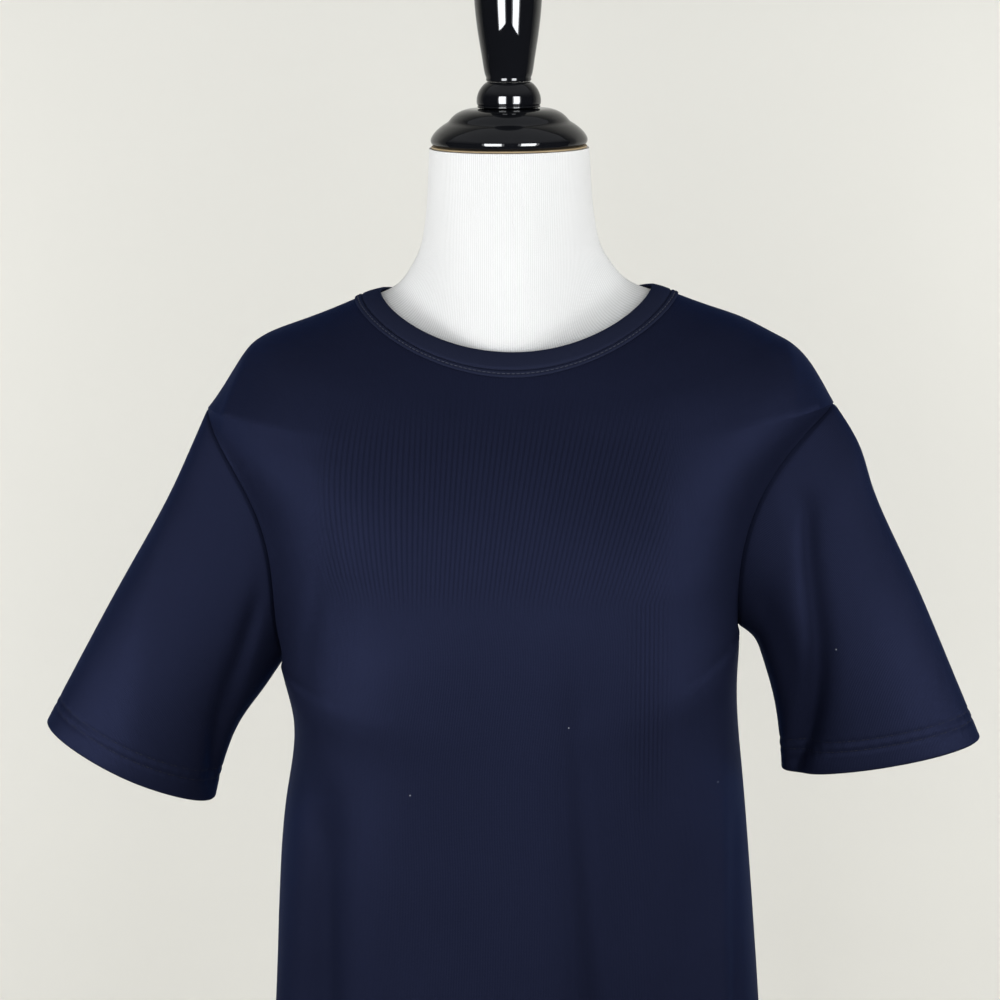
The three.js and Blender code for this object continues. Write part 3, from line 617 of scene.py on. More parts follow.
def edgePoint(face, side, line):
    # edge of a panel: side seam for line 0 to 1, armhole to 2, shoulder seam to 3
    sign = -1 if side == "left" else 1
    line = np.asarray(line, float)
    low = np.clip(line, 0, 1)
    seam = stack(
        sign * seamHalf[side](low), mix(seamY, sleeveY, low),
        mix(garment["hemHeight"], sleeveCurves[side]["inZ"](0), low))
    angle = -90 + 180 * np.clip(line - 1, 0, 1)
    hole = sleevePoint(side, 0, angle if face == "front" else 180 - angle)
    along = np.clip(line - 2, 0, 1)
    shoulder = stack(
        sign * shoulderCurves[side + "X"](along), shoulderCurves["y"](along),
        shoulderCurves[side + "Z"](along))
    line = line[..., None]
    return np.where(line <= 1, seam, np.where(line < 2, hole, shoulder))


def panelPoint(face, line, s):
    # row across a panel: x = edge (sin a / sin turn)^(2/q), depth falls from the centre to the
    # edge as (1 - cos^p a) / (1 - cos^p turn), height climbs as 1 - (1 - across^2)^lift
    edge = np.where((s < 0)[..., None], edgePoint(face, "left", line), edgePoint(face, "right", line))
    height = rowCurves[face + "Z"](line)
    depth = centreDepth[face](height)
    turn = np.radians(np.minimum(90, rowCurves["turn"](line)))
    power = 2 / rowCurves["square"](line)
    angle = turn * np.abs(s)
    across = (np.sin(angle) / np.sin(turn)) ** power
    around = (1 - np.maximum(0, np.cos(angle)) ** power) / (1 - np.maximum(0, np.cos(turn)) ** power)
    climb = 1 - np.maximum(0, 1 - across * across) ** rowCurves["lift"](line)
    return stack(
        edge[..., 0] * across, mix(depth, edge[..., 1], around), mix(height, edge[..., 2], climb))


# Mounds: middle x and z, half width, half height above, how far down the cloth hangs from them
# before it comes back, and how far they stand out.
bust = {
    "x": [-94, 94], "z": [-262, -202], "wide": [60, 58], "rise": [88, 60], "hang": [230, 230],
    "proud": [13, 14],
}
# Folds, from their upper end to the lower: place, half width and depth, troughs negative.
panelFolds = {
    "front": [
        dict(x1=43, z1=-290, x2=64, z2=-645, wide1=11, wide2=20, deep1=-1.5, deep2=-13),
        dict(x1=-122, z1=-380, x2=-150, z2=-645, wide1=18, wide2=26, deep1=-6, deep2=-14),
        dict(x1=-40, z1=-420, x2=-48, z2=-645, wide1=26, wide2=30, deep1=1, deep2=5),
        dict(x1=140, z1=-320, x2=150, z2=-645, wide1=14, wide2=16, deep1=1, deep2=4),
        dict(x1=186, z1=-44, x2=126, z2=-185, wide1=18, wide2=24, deep1=3, deep2=1),
        dict(x1=42, z1=-296, x2=57, z2=-480, wide1=8, wide2=13, deep1=-1.5, deep2=-5.0),
        dict(x1=-128, z1=-390, x2=-140, z2=-540, wide1=9, wide2=14, deep1=-2.0, deep2=-5.0),
        dict(x1=142, z1=-352, x2=149, z2=-560, wide1=4.5, wide2=6, deep1=0.8, deep2=2.0),
        dict(x1=153, z1=-385, x2=158, z2=-560, wide1=5, wide2=6, deep1=-1.0, deep2=-2.4),
        dict(x1=-130, z1=-205, x2=-138, z2=-275, wide1=9, wide2=12, deep1=-1.0, deep2=-1.2),
        dict(x1=-189, z1=-40, x2=-211, z2=-106, wide1=5, wide2=5, deep1=1.4, deep2=2.0),
        dict(x1=188, z1=-38, x2=193, z2=-82, wide1=5, wide2=6, deep1=1.2, deep2=0.8),
    ],
    "back": [
        dict(x1=-62, z1=-270, x2=-78, z2=-645, wide1=20, wide2=30, deep1=-2, deep2=-8),
        dict(x1=74, z1=-250, x2=96, z2=-645, wide1=20, wide2=28, deep1=-2, deep2=-9),
        dict(x1=4, z1=-360, x2=10, z2=-645, wide1=30, wide2=34, deep1=1, deep2=5),
        dict(x1=-128, z1=-60, x2=-112, z2=-200, wide1=12, wide2=20, deep1=1.0, deep2=0.6),
        dict(x1=132, z1=-58, x2=118, z2=-196, wide1=12, wide2=20, deep1=1.0, deep2=0.6),
        dict(x1=-140, z1=-300, x2=-150, z2=-600, wide1=8, wide2=12, deep1=-0.8, deep2=-2.2),
        dict(x1=146, z1=-330, x2=152, z2=-600, wide1=7, wide2=11, deep1=-0.8, deep2=-2.0),
        dict(x1=30, z1=-180, x2=44, z2=-300, wide1=14, wide2=18, deep1=-0.6, deep2=-1.0),
    ],
}
softening = {
    "passes": 150,
    "edgePower": 14,                   # the higher, the nearer to the side edges it reaches
    "bottom": 0.45, "bottomFade": 4,   # the lines between which it works
    "top": 2.86, "topFade": 6,
}


def bustRelief(face, points):
    # sum of proud exp(-u^2 - v^2) over the two mounds
    if face == "back":
        return 0
    u = (points[..., 0, None] - bust["x"]) / bust["wide"]
    above = points[..., 2, None] - np.array(bust["z"], float)
    v = above / np.where(above > 0, bust["rise"], bust["hang"])
    return (np.array(bust["proud"]) * np.exp(-u * u - v * v)).sum(-1)


def foldHeight(fold, down, aside):
    # deep exp(-(aside / wide)^2), where down runs from 0 to 1 along the fold, with its width and
    # depth, and the ends are faded
    share = np.clip(down, 0, 1)
    fade = smooth(1 + down * 4) * smooth((1.25 - down) * 4)
    across = aside / mix(fold["wide1"], fold["wide2"], share)
    return mix(fold["deep1"], fold["deep2"], share) * fade * np.exp(-across * across)


def foldRelief(folds, points):
    # sum of the heights of a panel's folds, each about a straight line in x and z
    out = 0
    for fold in folds:
        down = (points[..., 2] - fold["z1"]) / (fold["z2"] - fold["z1"])
        line = mix(fold["x1"], fold["x2"], np.clip(down, 0, 1))
        out = out + foldHeight(fold, down, points[..., 0] - line)
    return out


# steps across a panel lie closer beside the seams
nearEdge = np.array([0, 0.003, 0.0065, 0.011, 0.017, 0.025, 0.036])
acrossSteps = np.concatenate([-1 + nearEdge, np.linspace(-0.95, 0.95, 145), 1 - nearEdge[::-1]])
# and rows up it, closer at the hem, whose rows keep their millimetres along the side seam
sideLength = 380.0
hemSteps = np.arange(garment["hemWall"] / 2, 27, 1.45) / sideLength
lowerSteps = np.linspace(hemSteps[-1] + 0.008, 1, 72)
armholeSteps = 1 + np.linspace(0, 1, 49)[1:]
shoulderSteps = 2 + np.linspace(0, 0.93, 26)[1:]
collarSteps = 2 + np.linspace(0.94, 1, 9)
alongSteps = np.concatenate([hemSteps, lowerSteps, armholeSteps, shoulderSteps, collarSteps])
mapColumn = 80    # the column, next to the middle one, whose lengths are the map's heights


def softened(points, s):
    # evens out the bends across rows: every pass moves a point's depth halfway to the mean of
    # the rows above and below it, fading out towards the edges, the hem and the neckline
    line = alongSteps[1:-1]
    share = smooth((softening["top"] - line) * softening["topFade"])
    share = share * smooth((line - softening["bottom"]) * softening["bottomFade"])
    share = share[:, None] * (1 - np.abs(s[1:-1]) ** softening["edgePower"]) / 2
    step = np.diff(lengthsAlong(points, 0), axis=0)
    above = step[:-1] / (step[:-1] + step[1:])
    out = points.copy()
    for _ in range(softening["passes"]):
        even = mix(out[:-2, :, 1], out[2:, :, 1], above)
        out[1:-1, :, 1] = mix(out[1:-1, :, 1], even, share)
    return out


def panelGrid(face, folds=()):
    # P + n (bust + folds) held on the softened surface P, where held = (1 - |s|^6)
    # smooth(6 - 2 line) keeps the side edges and the neckline as they are
    outward = 1 if face == "front" else -1
    line, s = np.meshgrid(alongSteps, acrossSteps, indexing="ij")
    plain = softened(panelPoint(face, line, s), s)
    normals = gridNormals(plain, outward)
    held = (1 - np.abs(s) ** 6) * smooth((3 - line) * 2)
    relief = bustRelief(face, plain) + foldRelief(folds, plain)
    points = plain + normals * (relief * held)[..., None]
    return points, gridNormals(points, outward)


panels = {face: panelGrid(face, panelFolds[face]) for face in ("front", "back")}
smoothPanels = {face: panelGrid(face) for face in ("front", "back")}    # for the form inside
print("panels worked out")

# Folds along a sleeve from a1 to a2 and round it from turn1 to turn2 degrees, 0 at the front.
sleeveFolds = {
    "left": [
        dict(a1=0.30, turn1=52, a2=0.95, turn2=-8, wide1=12, wide2=22, deep1=1.6, deep2=2.6),
        dict(a1=0.05, turn1=-24, a2=0.8, turn2=-74, wide1=7, wide2=10, deep1=-3.5, deep2=-5.0),
        dict(a1=0.10, turn1=150, a2=0.95, turn2=170, wide1=12, wide2=16, deep1=-1.0, deep2=-2.0),
    ],
    "right": [
        dict(a1=0.12, turn1=17, a2=0.92, turn2=-66, wide1=7, wide2=12, deep1=-7.0, deep2=-8.0),
        dict(a1=0.02, turn1=-40, a2=0.8, turn2=-50, wide1=11, wide2=16, deep1=-2.2, deep2=-3.5),
        dict(a1=0.10, turn1=152, a2=0.95, turn2=165, wide1=12, wide2=16, deep1=-1.0, deep2=-2.0),
    ],
}
roundSteps = np.linspace(-90, 270, 145)[:-1]    # degrees round a sleeve
degreesPerMillimetre = 1.3    # how far round a sleeve a millimetre of a fold's width reaches
rowGap = 1.5                  # between the last body row and the first cuff row
sleeveBody = np.concatenate([
    [0, 0.003, 0.007, 0.012, 0.019, 0.028, 0.04], np.linspace(0.056, 1, 46)])
cuffSteps = np.arange(26, garment["hemWall"] / 2 - 0.01, -1.43)    # millimetres up from the cuff


def sleeveGrid(side):
    # P + n folds smooth(6 along) on the plain sleeve P; its body rows are shares of the way from
    # armhole to cuff, and the cuff's rows keep their millimetres from the edge all round
    table = sleeveSections[side]

    def straight(x, z):
        return math.hypot(table[x][-1] - table[x][0], table[z][-1] - table[z][0])

    lift = (1 + np.sin(np.radians(roundSteps))) / 2
    length = mix(straight("inX", "inZ"), straight("outX", "outZ"), lift)
    cuffStart = 1 - (cuffSteps[0] + rowGap) / length
    along = np.concatenate([
        sleeveBody[:, None] * cuffStart[None, :], 1 - cuffSteps[:, None] / length[None, :]])
    angle = np.broadcast_to(roundSteps[None, :], along.shape)
    outward = 1 if side == "left" else -1
    plain = sleevePoint(side, along, angle)
    normals = gridNormals(plain, outward, True)
    relief = 0
    for fold in sleeveFolds[side]:
        down = (along - fold["a1"]) / (fold["a2"] - fold["a1"])
        line = mix(fold["turn1"], fold["turn2"], np.clip(down, 0, 1))
        turned = (angle - line + 180) % 360 - 180
        relief = relief + foldHeight(fold, down, turned / degreesPerMillimetre)
    points = plain + normals * (relief * smooth(along * 6))[..., None]
    return points, gridNormals(points, outward, True), along * length


sleeves = {side: sleeveGrid(side) for side in ("left", "right")}


def armholeNormals(side):
    # round an armhole, panel and sleeve share n = unit(panel + sleeve), so that walls are mitred
    column = 0 if side == "left" else -1
    front, back = (panels[face][1][:, column] for face in ("front", "back"))
    hole = (alongSteps >= 1) & (alongSteps <= 2)
    turned = -90 + 180 * (alongSteps[hole] - 1)
    both = unit(front + back)[hole]
    ends = (np.minimum(turned + 90, 90 - turned) < 1)[:, None]
    angle = np.concatenate([turned, (180 - turned)[::-1][1:]])
    panel = np.concatenate([
        np.where(ends, both, front[hole]), np.where(ends, both, back[hole])[::-1][1:]])
    sleeve = sleeves[side][1][0]
    sleeve = sampled(angle, np.append(roundSteps, 270), np.concatenate([sleeve, sleeve[:1]]))
    shared = unit(panel + unit(sleeve))

    def at(angles):
        return unit(sampled(angles, angle, shared))

    return at


armhole = {side: armholeNormals(side) for side in ("left", "right")}


def seamNormals(face, side):
    # normals down a panel's edge: side seam, armhole, shoulder seam, eased into each other
    column = 0 if side == "left" else -1
    both = unit(panels["front"][1][:, column] + panels["back"][1][:, column])
    angle = -90 + 180 * np.clip(alongSteps - 1, 0, 1)
    hole = armhole[side](angle if face == "front" else 180 - angle)
    share = smooth((alongSteps - 0.96) / 0.04) * smooth((2.06 - alongSteps) / 0.06)
    return unit(mix(both, hole, share[:, None]))


panelEdge = {
    face: {side: seamNormals(face, side) for side in ("left", "right")}
    for face in ("front", "back")
}
print("sleeves worked out")

seam = {
    "deep": 1.6,            # groove beside a seam
    "shoulderDeep": 0.5,    # and beside the shoulder seam, past this line
    "shoulderLine": 1.96, "shoulderFade": 20,
    "wide": 1.0,
    "sleeveWide": 1.4,
    "reach": 3.0,           # how far from a seam the cloth's normals turn to the shared ones
}
stitching = {
    "hemRows": [15.5, 22.5],    # millimetres up from the hem or cuff
    "draw": 0.55,               # how far a row of stitches draws the cloth in
    "drawWide": 1.2,
    "pucker": 0.22,             # waves between the rows
    "puckerLength": 9.0,
    "length": 2.7,
    "pitch": 3.3,
    "radius": 0.26,
    "sunk": 0.5,                # how deep the hem's stitches lie in the cloth
}
chestLines = {
    # faint lines down the chest, in millimetres: they stand upright below the foot, and above it
    # they spread out from the middle, those on the left only for half the height of leftTurn
    "middle": -61,
    "foot": -204,
    "spread": 0.0024,
    "leftSpread": 0.0087,
    "leftTurn": 150,
    "left": -138, "leftFade": 20,
    "right": 118, "rightFade": 25,
    "top": -60, "topFade": 50,
    "bottom": -220, "bottomFade": 30,
    "stripMiddle": 96, "stripWide": 22,    # a strip of them that runs further down
    "stripBottom": -380, "stripFade": 80,
    "backShare": 0.5,
}


def grooved(points, normals, distance, deep, wide):
    # the wall dips beside a seam by deep exp(-(distance / wide)^2)
    return points - normals * (deep * np.exp(-(distance / wide) ** 2))[..., None]


def puckered(points, normals, rise, along):
    # twin rows of stitches: each sinks by draw exp(-(d / drawWide)^2), and between them the
    # cloth waves by pucker sin(2 pi along / puckerLength), with a phase that drifts slowly
    low, high = stitching["hemRows"]
    rows = sum(np.exp(-((rise - row) / stitching["drawWide"]) ** 2) for row in (low, high))
    phase = along / stitching["puckerLength"] * 2 * math.pi + 1.5 * np.sin(along / 37.0)
    near = np.exp(-((rise - (low + high) / 2) / (high - low)) ** 2)
    relief = stitching["pucker"] * np.sin(phase) * near - stitching["draw"] * rows
    return points + normals * relief[..., None]


def wallBeside(rise):
    # the folded hem is two layers up to its stitching
    return mix(garment["hemWall"], garment["clothWall"], smooth((rise - garment["hemFold"]) / 1.5))


def chestPattern(face, points):
    # map of the faint lines: first how far across them a point lies, (x - middle) / spread with
    # spread = 1 + share (height over the foot), and then how strongly they show
    given = chestLines
    x, z = points[..., 0], points[..., 2]
    over = np.maximum(z - given["foot"], 0)
    turn = np.minimum(over, given["leftTurn"])
    leftOver = turn * (1 - turn / given["leftTurn"])
    spread = np.where(
        x > given["middle"], 1 + given["spread"] * over, 1 + given["leftSpread"] * leftOver)
    sides = smooth((x - given["left"]) / given["leftFade"]) * smooth(
        (given["right"] - x) / given["rightFade"])
    above = smooth((z - given["bottom"]) / given["bottomFade"])
    strip = smooth(1.2 - np.abs(x - given["stripMiddle"]) / given["stripWide"]) * smooth(
        (z - given["stripBottom"]) / given["stripFade"])
    strength = sides * np.maximum(above, strip) * smooth((given["top"] - z) / given["topFade"])
    strength = strength * (1 if face == "front" else given["backShare"])
    return np.stack([(x - given["middle"]) / spread, strength], -1)


def panelPiece(face):
    # the panel's grid, drawn back half a gap and down into a groove beside its seams, puckered at
    # the hem and given its wall
    points, normals = panels[face]
    fromLeft = lengthsAlong(points, 1)
    fromRight = lengthsAlong(points[:, ::-1], 1)[:, ::-1]
    left, right = (np.exp(-(far / seam["reach"]) ** 2)[..., None] for far in (fromLeft, fromRight))
    edgeNormals = unit(
        normals * (1 - left) * (1 - right) + panelEdge[face]["left"][:, None] * left
        + panelEdge[face]["right"][:, None] * right)
    outer = points.copy()
    outer[:, 0] += unit(points[:, 1] - points[:, 0]) * garment["seamGap"] / 2
    outer[:, -1] += unit(points[:, -2] - points[:, -1]) * garment["seamGap"] / 2
    distance = np.minimum(fromLeft, fromRight)
    shoulder = smooth((alongSteps - seam["shoulderLine"]) * seam["shoulderFade"])
    deep = mix(seam["deep"], seam["shoulderDeep"], shoulder)[:, None]
    outer = grooved(outer, edgeNormals, distance, deep, seam["wide"])
    rise = alongSteps * sideLength
    across = fromLeft - fromLeft[:, -1:] / 2
    outer = puckered(outer, edgeNormals, np.broadcast_to(rise[:, None], across.shape), across)
    heights = lengthsAlong(points, 0)[:, mapColumn]
    cloth = np.stack([across, np.broadcast_to(heights[:, None], across.shape)], -1)
    down = slice(None, None, -1)    # from neckline to hem
    piece = wrapCloth(
        face + "_cloth", outer[down], edgeNormals[down], wallBeside(rise)[down],
        {"cloth": cloth[down], "lines": chestPattern(face, points)[down]}, False)
    return placed(piece, "knit", face)


def sleevePiece(side):
    # the sleeve's grid, with the same groove and gap at the armhole and the same cuff
    points, normals, distance = sleeves[side]
    near = np.exp(-(distance / seam["reach"]) ** 2)[..., None]
    normals = unit(mix(normals, armhole[side](roundSteps)[None], near))
    outer = grooved(points, normals, distance, seam["deep"], seam["sleeveWide"])
    farUp = np.full(len(sleeveBody), 60.0)    # beyond the reach of the cuff's stitches
    rise = np.concatenate([farUp, cuffSteps])
    around = lengthsRound(points)
    outer = puckered(
        outer, normals, np.broadcast_to(rise[:, None], distance.shape), around[:, :-1])
    outer[0] += unit(outer[1] - outer[0]) * garment["seamGap"] / 2
    cloth = np.stack([around, np.concatenate([distance, distance[:, :1]], 1)], -1)
    name = "sleeve_" + side
    piece = wrapCloth(
        name + "_cloth", outer, normals, wallBeside(rise),
        {"cloth": cloth, "lines": np.zeros_like(cloth)}, True)
    return placed(piece, "knit", name)


clothPieces = {face: panelPiece(face) for face in ("front", "back")}
clothPieces.update({side: sleevePiece(side) for side in ("left", "right")})
print("front, back and sleeves made")

neckband = {
    "height": 14.0,         # of the folded rib
    "strip": 5.3,           # sewn to the panels below it
    "leanShoulder": 17.0,
    "leanCentre": 61.0,
    "ringSteps": 110,       # steps round the front, and as many round the back
}


def necklineRing():
    # front from left to right, then back from right to left, on the panels' top rows
    s = np.linspace(-1, 1, neckband["ringSteps"] + 1)[:-1]
    rings = {"point": [], "normal": [], "down": []}
    for face, places in (("front", s), ("back", -s)):
        points, normals = panels[face]
        top = normals[-1].copy()
        top[0], top[-1] = panelEdge[face]["left"][-1], panelEdge[face]["right"][-1]
        rings["point"].append(sampled(places, acrossSteps, points[-1]))
        rings["normal"].append(unit(sampled(places, acrossSteps, top)))
        down = unit(points[-6] - points[-1])    # along the panel, over its last few rows
        rings["down"].append(unit(sampled(places, acrossSteps, down)))
    return {name: np.concatenate(parts) for name, parts in rings.items()}


def bandFrames(point):
    # rib = inward cos lean + up sin lean, flatter at the shoulders than at the centre, and the
    # direction out of it
    along = unit((np.roll(point, -1, 0) - np.roll(point, 1, 0)) * [1, 1, 0])
    inward = stack(-along[:, 1], along[:, 0], 0)
    centred = np.abs(inward[:, 1]) ** 1.5
    lean = np.radians(mix(neckband["leanShoulder"], neckband["leanCentre"], centred))[:, None]
    up = np.array([0, 0, 1.0])
    return inward * np.cos(lean) + up * np.sin(lean), up * np.cos(lean) - inward * np.sin(lean)


ring = necklineRing()
bandRib, bandOut = bandFrames(ring["point"])


def onPanel(height, proud):
    return ring["point"] - ring["down"] * height + ring["normal"] * proud


def onRib(height, proud):
    return ring["point"] + bandRib * height + bandOut * proud


def neckbandPiece():
    # profile round the neckline: strip sewn to the panel, groove, folded rib, inner side
    full, strip = neckband["height"], neckband["strip"]
    profile = [
        onPanel(-strip, 0.3), onPanel(-strip - 0.1, 0.8), onPanel(-strip + 0.2, 1.2),
        onPanel(-strip + 0.8, 1.45), onPanel(-strip / 2 - 0.7, 1.6), onPanel(-strip / 2 - 0.25, 1.4),
        onPanel(-strip / 2 + 0.25, 1.4), onPanel(-strip / 2 + 0.7, 1.6), onPanel(-1.2, 1.55),
        onPanel(-0.6, 1.25), onRib(0.1, 0.55), onRib(0.6, 0.95), onRib(1.2, 1.4), onRib(3, 1.6),
        onRib(full / 2, 1.75), onRib(full - 3, 1.6), onRib(full - 1.2, 1.3), onRib(full - 0.4, 0.8),
        onRib(full, 0), onRib(full - 0.4, -0.9), onRib(full - 1.4, -1.5), onRib(full / 2, -1.65),
        onRib(1.5, -1.7), onRib(0.5, -1.6), onRib(0.4, -0.6), onRib(0.4, 0.25),
    ]
    ribRow = 14    # the middle of the rib's outer side
    rings = np.stack(profile)
    rowCount, columnCount = rings.shape[:2]
    walked = lengthsAlong(np.concatenate([rings, rings[:1]]), 0)
    v = np.concatenate([walked, walked[:, :1]], 1)
    u = np.broadcast_to(lengthsRound(rings)[ribRow], v.shape)
    rows, columns = gridQuads(rowCount, columnCount, True, True)
    quads = (rows % rowCount) * columnCount + columns % columnCount
    corners = rows * (columnCount + 1) + columns
    points = rings.reshape(-1, 3)
    ribFaces = slice(ribRow * columnCount, (ribRow + 1) * columnCount)
    if not facesOutward(points, quads[ribFaces], bandOut):
        quads, corners = quads[:, ::-1], corners[:, ::-1]
    uv = np.stack([u, v], -1).reshape(-1, 2)
    piece = meshPiece(
        "neckband_cloth", points, quads.tolist(), corners.ravel(), {"cloth": uv}, materials["band"])
    return placed(piece, "rib_band", "neckband")


bandPiece = neckbandPiece()
print("neckband made")


def stitchPiece(name, path, normals, thread, slotName, closed=False):
    # one short spindle for each pitch along a path: radius (1 - x^2)^(1/2) about its length
    if closed:
        path, normals = (np.concatenate([rows, rows[:1]]) for rows in (path, normals))
    walked = lengthsAlong(path, 0)
    count = int(walked[-1] / stitching["pitch"])
    middles = (np.arange(count) + 0.5) * walked[-1] / count
    centre = sampled(middles, walked, path)
    ahead = unit(sampled(middles + 1, walked, path) - sampled(middles - 1, walked, path))
    normal = sampled(middles, walked, normals)
    normal = unit(normal - ahead * (normal * ahead).sum(-1, keepdims=True))
    side = np.cross(ahead, normal)
    ringCount, corners = 5, 6
    x = np.linspace(-0.96, 0.96, ringCount)
    width = np.sqrt(1 - x * x)[:, None] * stitching["radius"]
    turn = np.linspace(0, 2 * math.pi, corners + 1)[:-1]
    along = np.repeat(x * stitching["length"] / 2, corners)
    lift = (width * np.cos(turn)).ravel()
    aside = (width * np.sin(turn)).ravel() * 1.2    # thread lies a little flat
    points = (
        centre[:, None] + ahead[:, None] * along[:, None] + normal[:, None] * lift[:, None]
        + side[:, None] * aside[:, None]).reshape(-1, 3)
    # faces of one spindle, and the same for each of the others
    size = ringCount * corners
    rows, columns = gridQuads(ringCount, corners, False, True)
    spindle = rows * corners + columns % corners
    ends = np.stack([np.arange(corners)[::-1], np.arange(size - corners, size)])
    first = size * np.arange(count)[:, None, None]
    quads, caps = (spindle + first).reshape(-1, 4), (ends + first).reshape(-1, corners)
    one = quads[:len(spindle)]
    if not facesOutward(points, one, points[one].mean(1) - centre[0]):
        quads, caps = quads[:, ::-1], caps[:, ::-1]
    piece = meshPiece(name, points, quads.tolist() + caps.tolist(), material=materials[thread])
    return placed(piece, slotName)


def rowAtRise(face, rise):
    # the panel's points at a height above the hem, sunk to where its stitches lie
    points, normals = panels[face]
    row = np.interp(rise / sideLength, alongSteps, np.arange(len(alongSteps)))
    low = int(row)
    at = mix(points[low], points[low + 1], row - low) - normals[low] * stitching["sunk"]
    return at[3:-3], normals[low][3:-3]


for face in ("front", "back"):
    for number, rise in enumerate(stitching["hemRows"], 1):
        path, normals = rowAtRise(face, rise)
        stitchPiece(f"{face}_hem_stitch_{number}", path, normals, "shadedHemThread", "knit")
for side in ("left", "right"):
    points, normals, _ = sleeves[side]
    for number, rise in enumerate(stitching["hemRows"], 1):
        row = len(sleeveBody) + int(np.argmin(np.abs(cuffSteps - rise)))
        stitchPiece(
            f"sleeve_{side}_stitch_{number}", points[row] - normals[row] * stitching["sunk"],
            normals[row], "shadedHemThread", "knit", closed=True)
stitchPiece("neckband_stitch", onPanel(-neckband["strip"] / 2, 1.38), ring["normal"],
            "highlitBandThread", "rib_band", closed=True)
print("stitches made")

# The form under the cloth: its shares of the panels' width and depth, up their lines,
formRows = {
    "line": [0, 0.30, 0.55, 0.80, 1, 1.5, 2, 2.34, 2.5, 3],
    "across": [0.93, 0.92, 0.91, 0.92, 0.92, 0.91, 0.84, 0.94, 1, 1],
    "deep": [0.91, 0.91, 0.92, 0.94, 0.97, 0.98, 0.98, 0.99, 1, 1],
}
# its rounded lower end,
formEnd = {
    "z": [-730, -729, -726, -722, -712, -700],
    "half": [158, 163, 167, 169, 171, 172],
    "front": [-102, -107, -111, -113, -115, -116],
    "back": [85, 90, 94, 96, 98, 99],
}
# and how its neck flares out, down to the neckline, at the sides and at the centre.
neckFlare = {
    "rise": [0, 0.030, 0.060, 0.100, 0.197, 0.320, 0.456, 0.650, 0.857, 1],
    "side": [1, 0.788, 0.625, 0.482, 0.308, 0.165, 0.093, 0.043, 0.019, 0],
    "centre": [1, 0.66, 0.38, 0.10, -0.14, -0.22, -0.22, -0.14, -0.05, 0],
}
formShape = {
    "flankBulge": 0.12,               # rounding of its sides, as a share of their depth
    "sideInset": 1,
    "endWide": 165, "endDeep": 110,   # the ellipse by which its lower end is drawn round
    "inside": (0, 0, -300),           # a point within it
}
# the round top of its neck, where the cap sits: its middle, its tilt in degrees and its radius
cap = {"x": -5.7, "y": -8.0, "z": 99.0, "tilt": 8.5, "neckRadius": 55.8}
tilt = math.radians(cap["tilt"])


def formFace(face):
    # the smooth panel, moved in by the wall, the clearance and an ease that fades at the seams
    points, normals = smoothPanels[face]
    normals = normals.copy()
    normals[:, 0], normals[:, -1] = panelEdge[face]["left"], panelEdge[face]["right"]
    depth = garment["clothWall"] + garment["formGap"] + garment["formEase"] * (1 - acrossSteps ** 8)
    inset = points - normals * depth[None, :, None]
    inset[:, [0, -1], 1] -= formShape["sideInset"] * (1 if face == "front" else -1)
    across = np.minimum(1, curve(formRows, "line", "across")(alongSteps))
    deep = np.minimum(1, curve(formRows, "line", "deep")(alongSteps))
    return inset * stack(across, deep, np.ones_like(deep))[:, None]


def formBody():
    # front, side, back and side of the form as closed rows, on every other row and column; the
    # sides bulge by a share of their depth as a half sine
    every = np.append(np.arange(0, len(alongSteps) - 1, 2), len(alongSteps) - 1)
    last = len(acrossSteps) - 1
    skipped = len(nearEdge)
    columns = np.concatenate([[0], np.arange(skipped, last + 1 - skipped, 2), [last]])
    front = formFace("front")[every][:, columns]
    back = formFace("back")[every][:, columns[::-1]]
    share = np.linspace(0, 1, 6)[1:-1]

    def flank(start, end):
        bulge = np.abs(end[:, 1] - start[:, 1]) * formShape["flankBulge"] * np.sign(start[:, 0])
        between = start[:, None] + (end - start)[:, None] * share[None, :, None]
        between[..., 0] += bulge[:, None] * np.sin(share * math.pi)
        return between

    right, left = flank(front[:, -1], back[:, 0]), flank(back[:, -1], front[:, 0])
    return np.concatenate([front, right, back, left], 1)


def formPiece():
    body = formBody()
    # lower end: ellipses, half sin a across and depth cos a to the front and back
    angle = np.arctan2(body[0, :, 0] / formShape["endWide"], -body[0, :, 1] / formShape["endDeep"])
    half, z, front, back = (
        np.array(formEnd[name])[:, None] for name in ("half", "z", "front", "back"))
    depth = np.where(np.cos(angle) > 0, -front, back)
    below = stack(half * np.sin(angle), -depth * np.cos(angle), z)
    # neck: from the neckline's ring in to a round, tilted one, by the flare's two curves
    rise = np.concatenate([np.linspace(0.008, 0.12, 14), np.linspace(0.14, 1, 34)])[:, None]
    base = body[-1]
    turned = np.arctan2(base[:, 0] - cap["x"], -(base[:, 1] - cap["y"]))
    spread = mix(curve(neckFlare, "rise", "side")(rise), curve(neckFlare, "rise", "centre")(rise),
                 np.abs(np.cos(turned)) ** 1.5)
    ahead = cap["neckRadius"] * np.cos(turned)
    x = mix(cap["x"] + cap["neckRadius"] * np.sin(turned), base[:, 0], spread)
    y = mix(cap["y"] - ahead * math.cos(tilt), base[:, 1], spread)
    height = mix(base[:, 2], cap["z"] - ahead * math.sin(tilt), rise)
    rings = np.concatenate([below, body, stack(x, y, height)])
    # the ribs run straight up the neck, because every row takes the lengths of one round it
    neckRow = len(below) + len(body) + 26
    v = lengthsAlong(np.concatenate([rings, rings[:, :1]], 1), 0)
    u = np.broadcast_to(lengthsRound(rings)[neckRow], v.shape)
    piece = tubePiece(
        "form_jersey", rings, np.stack([u, v], -1), materials["jersey"],
        ((0, 0, formEnd["z"][0]), (cap["x"], cap["y"], cap["z"])), formShape["inside"])
    return placed(piece, "form_jersey", "form_torso")


form = formPiece()
print("form made")

turnedSteps = 96    # round the turned pieces


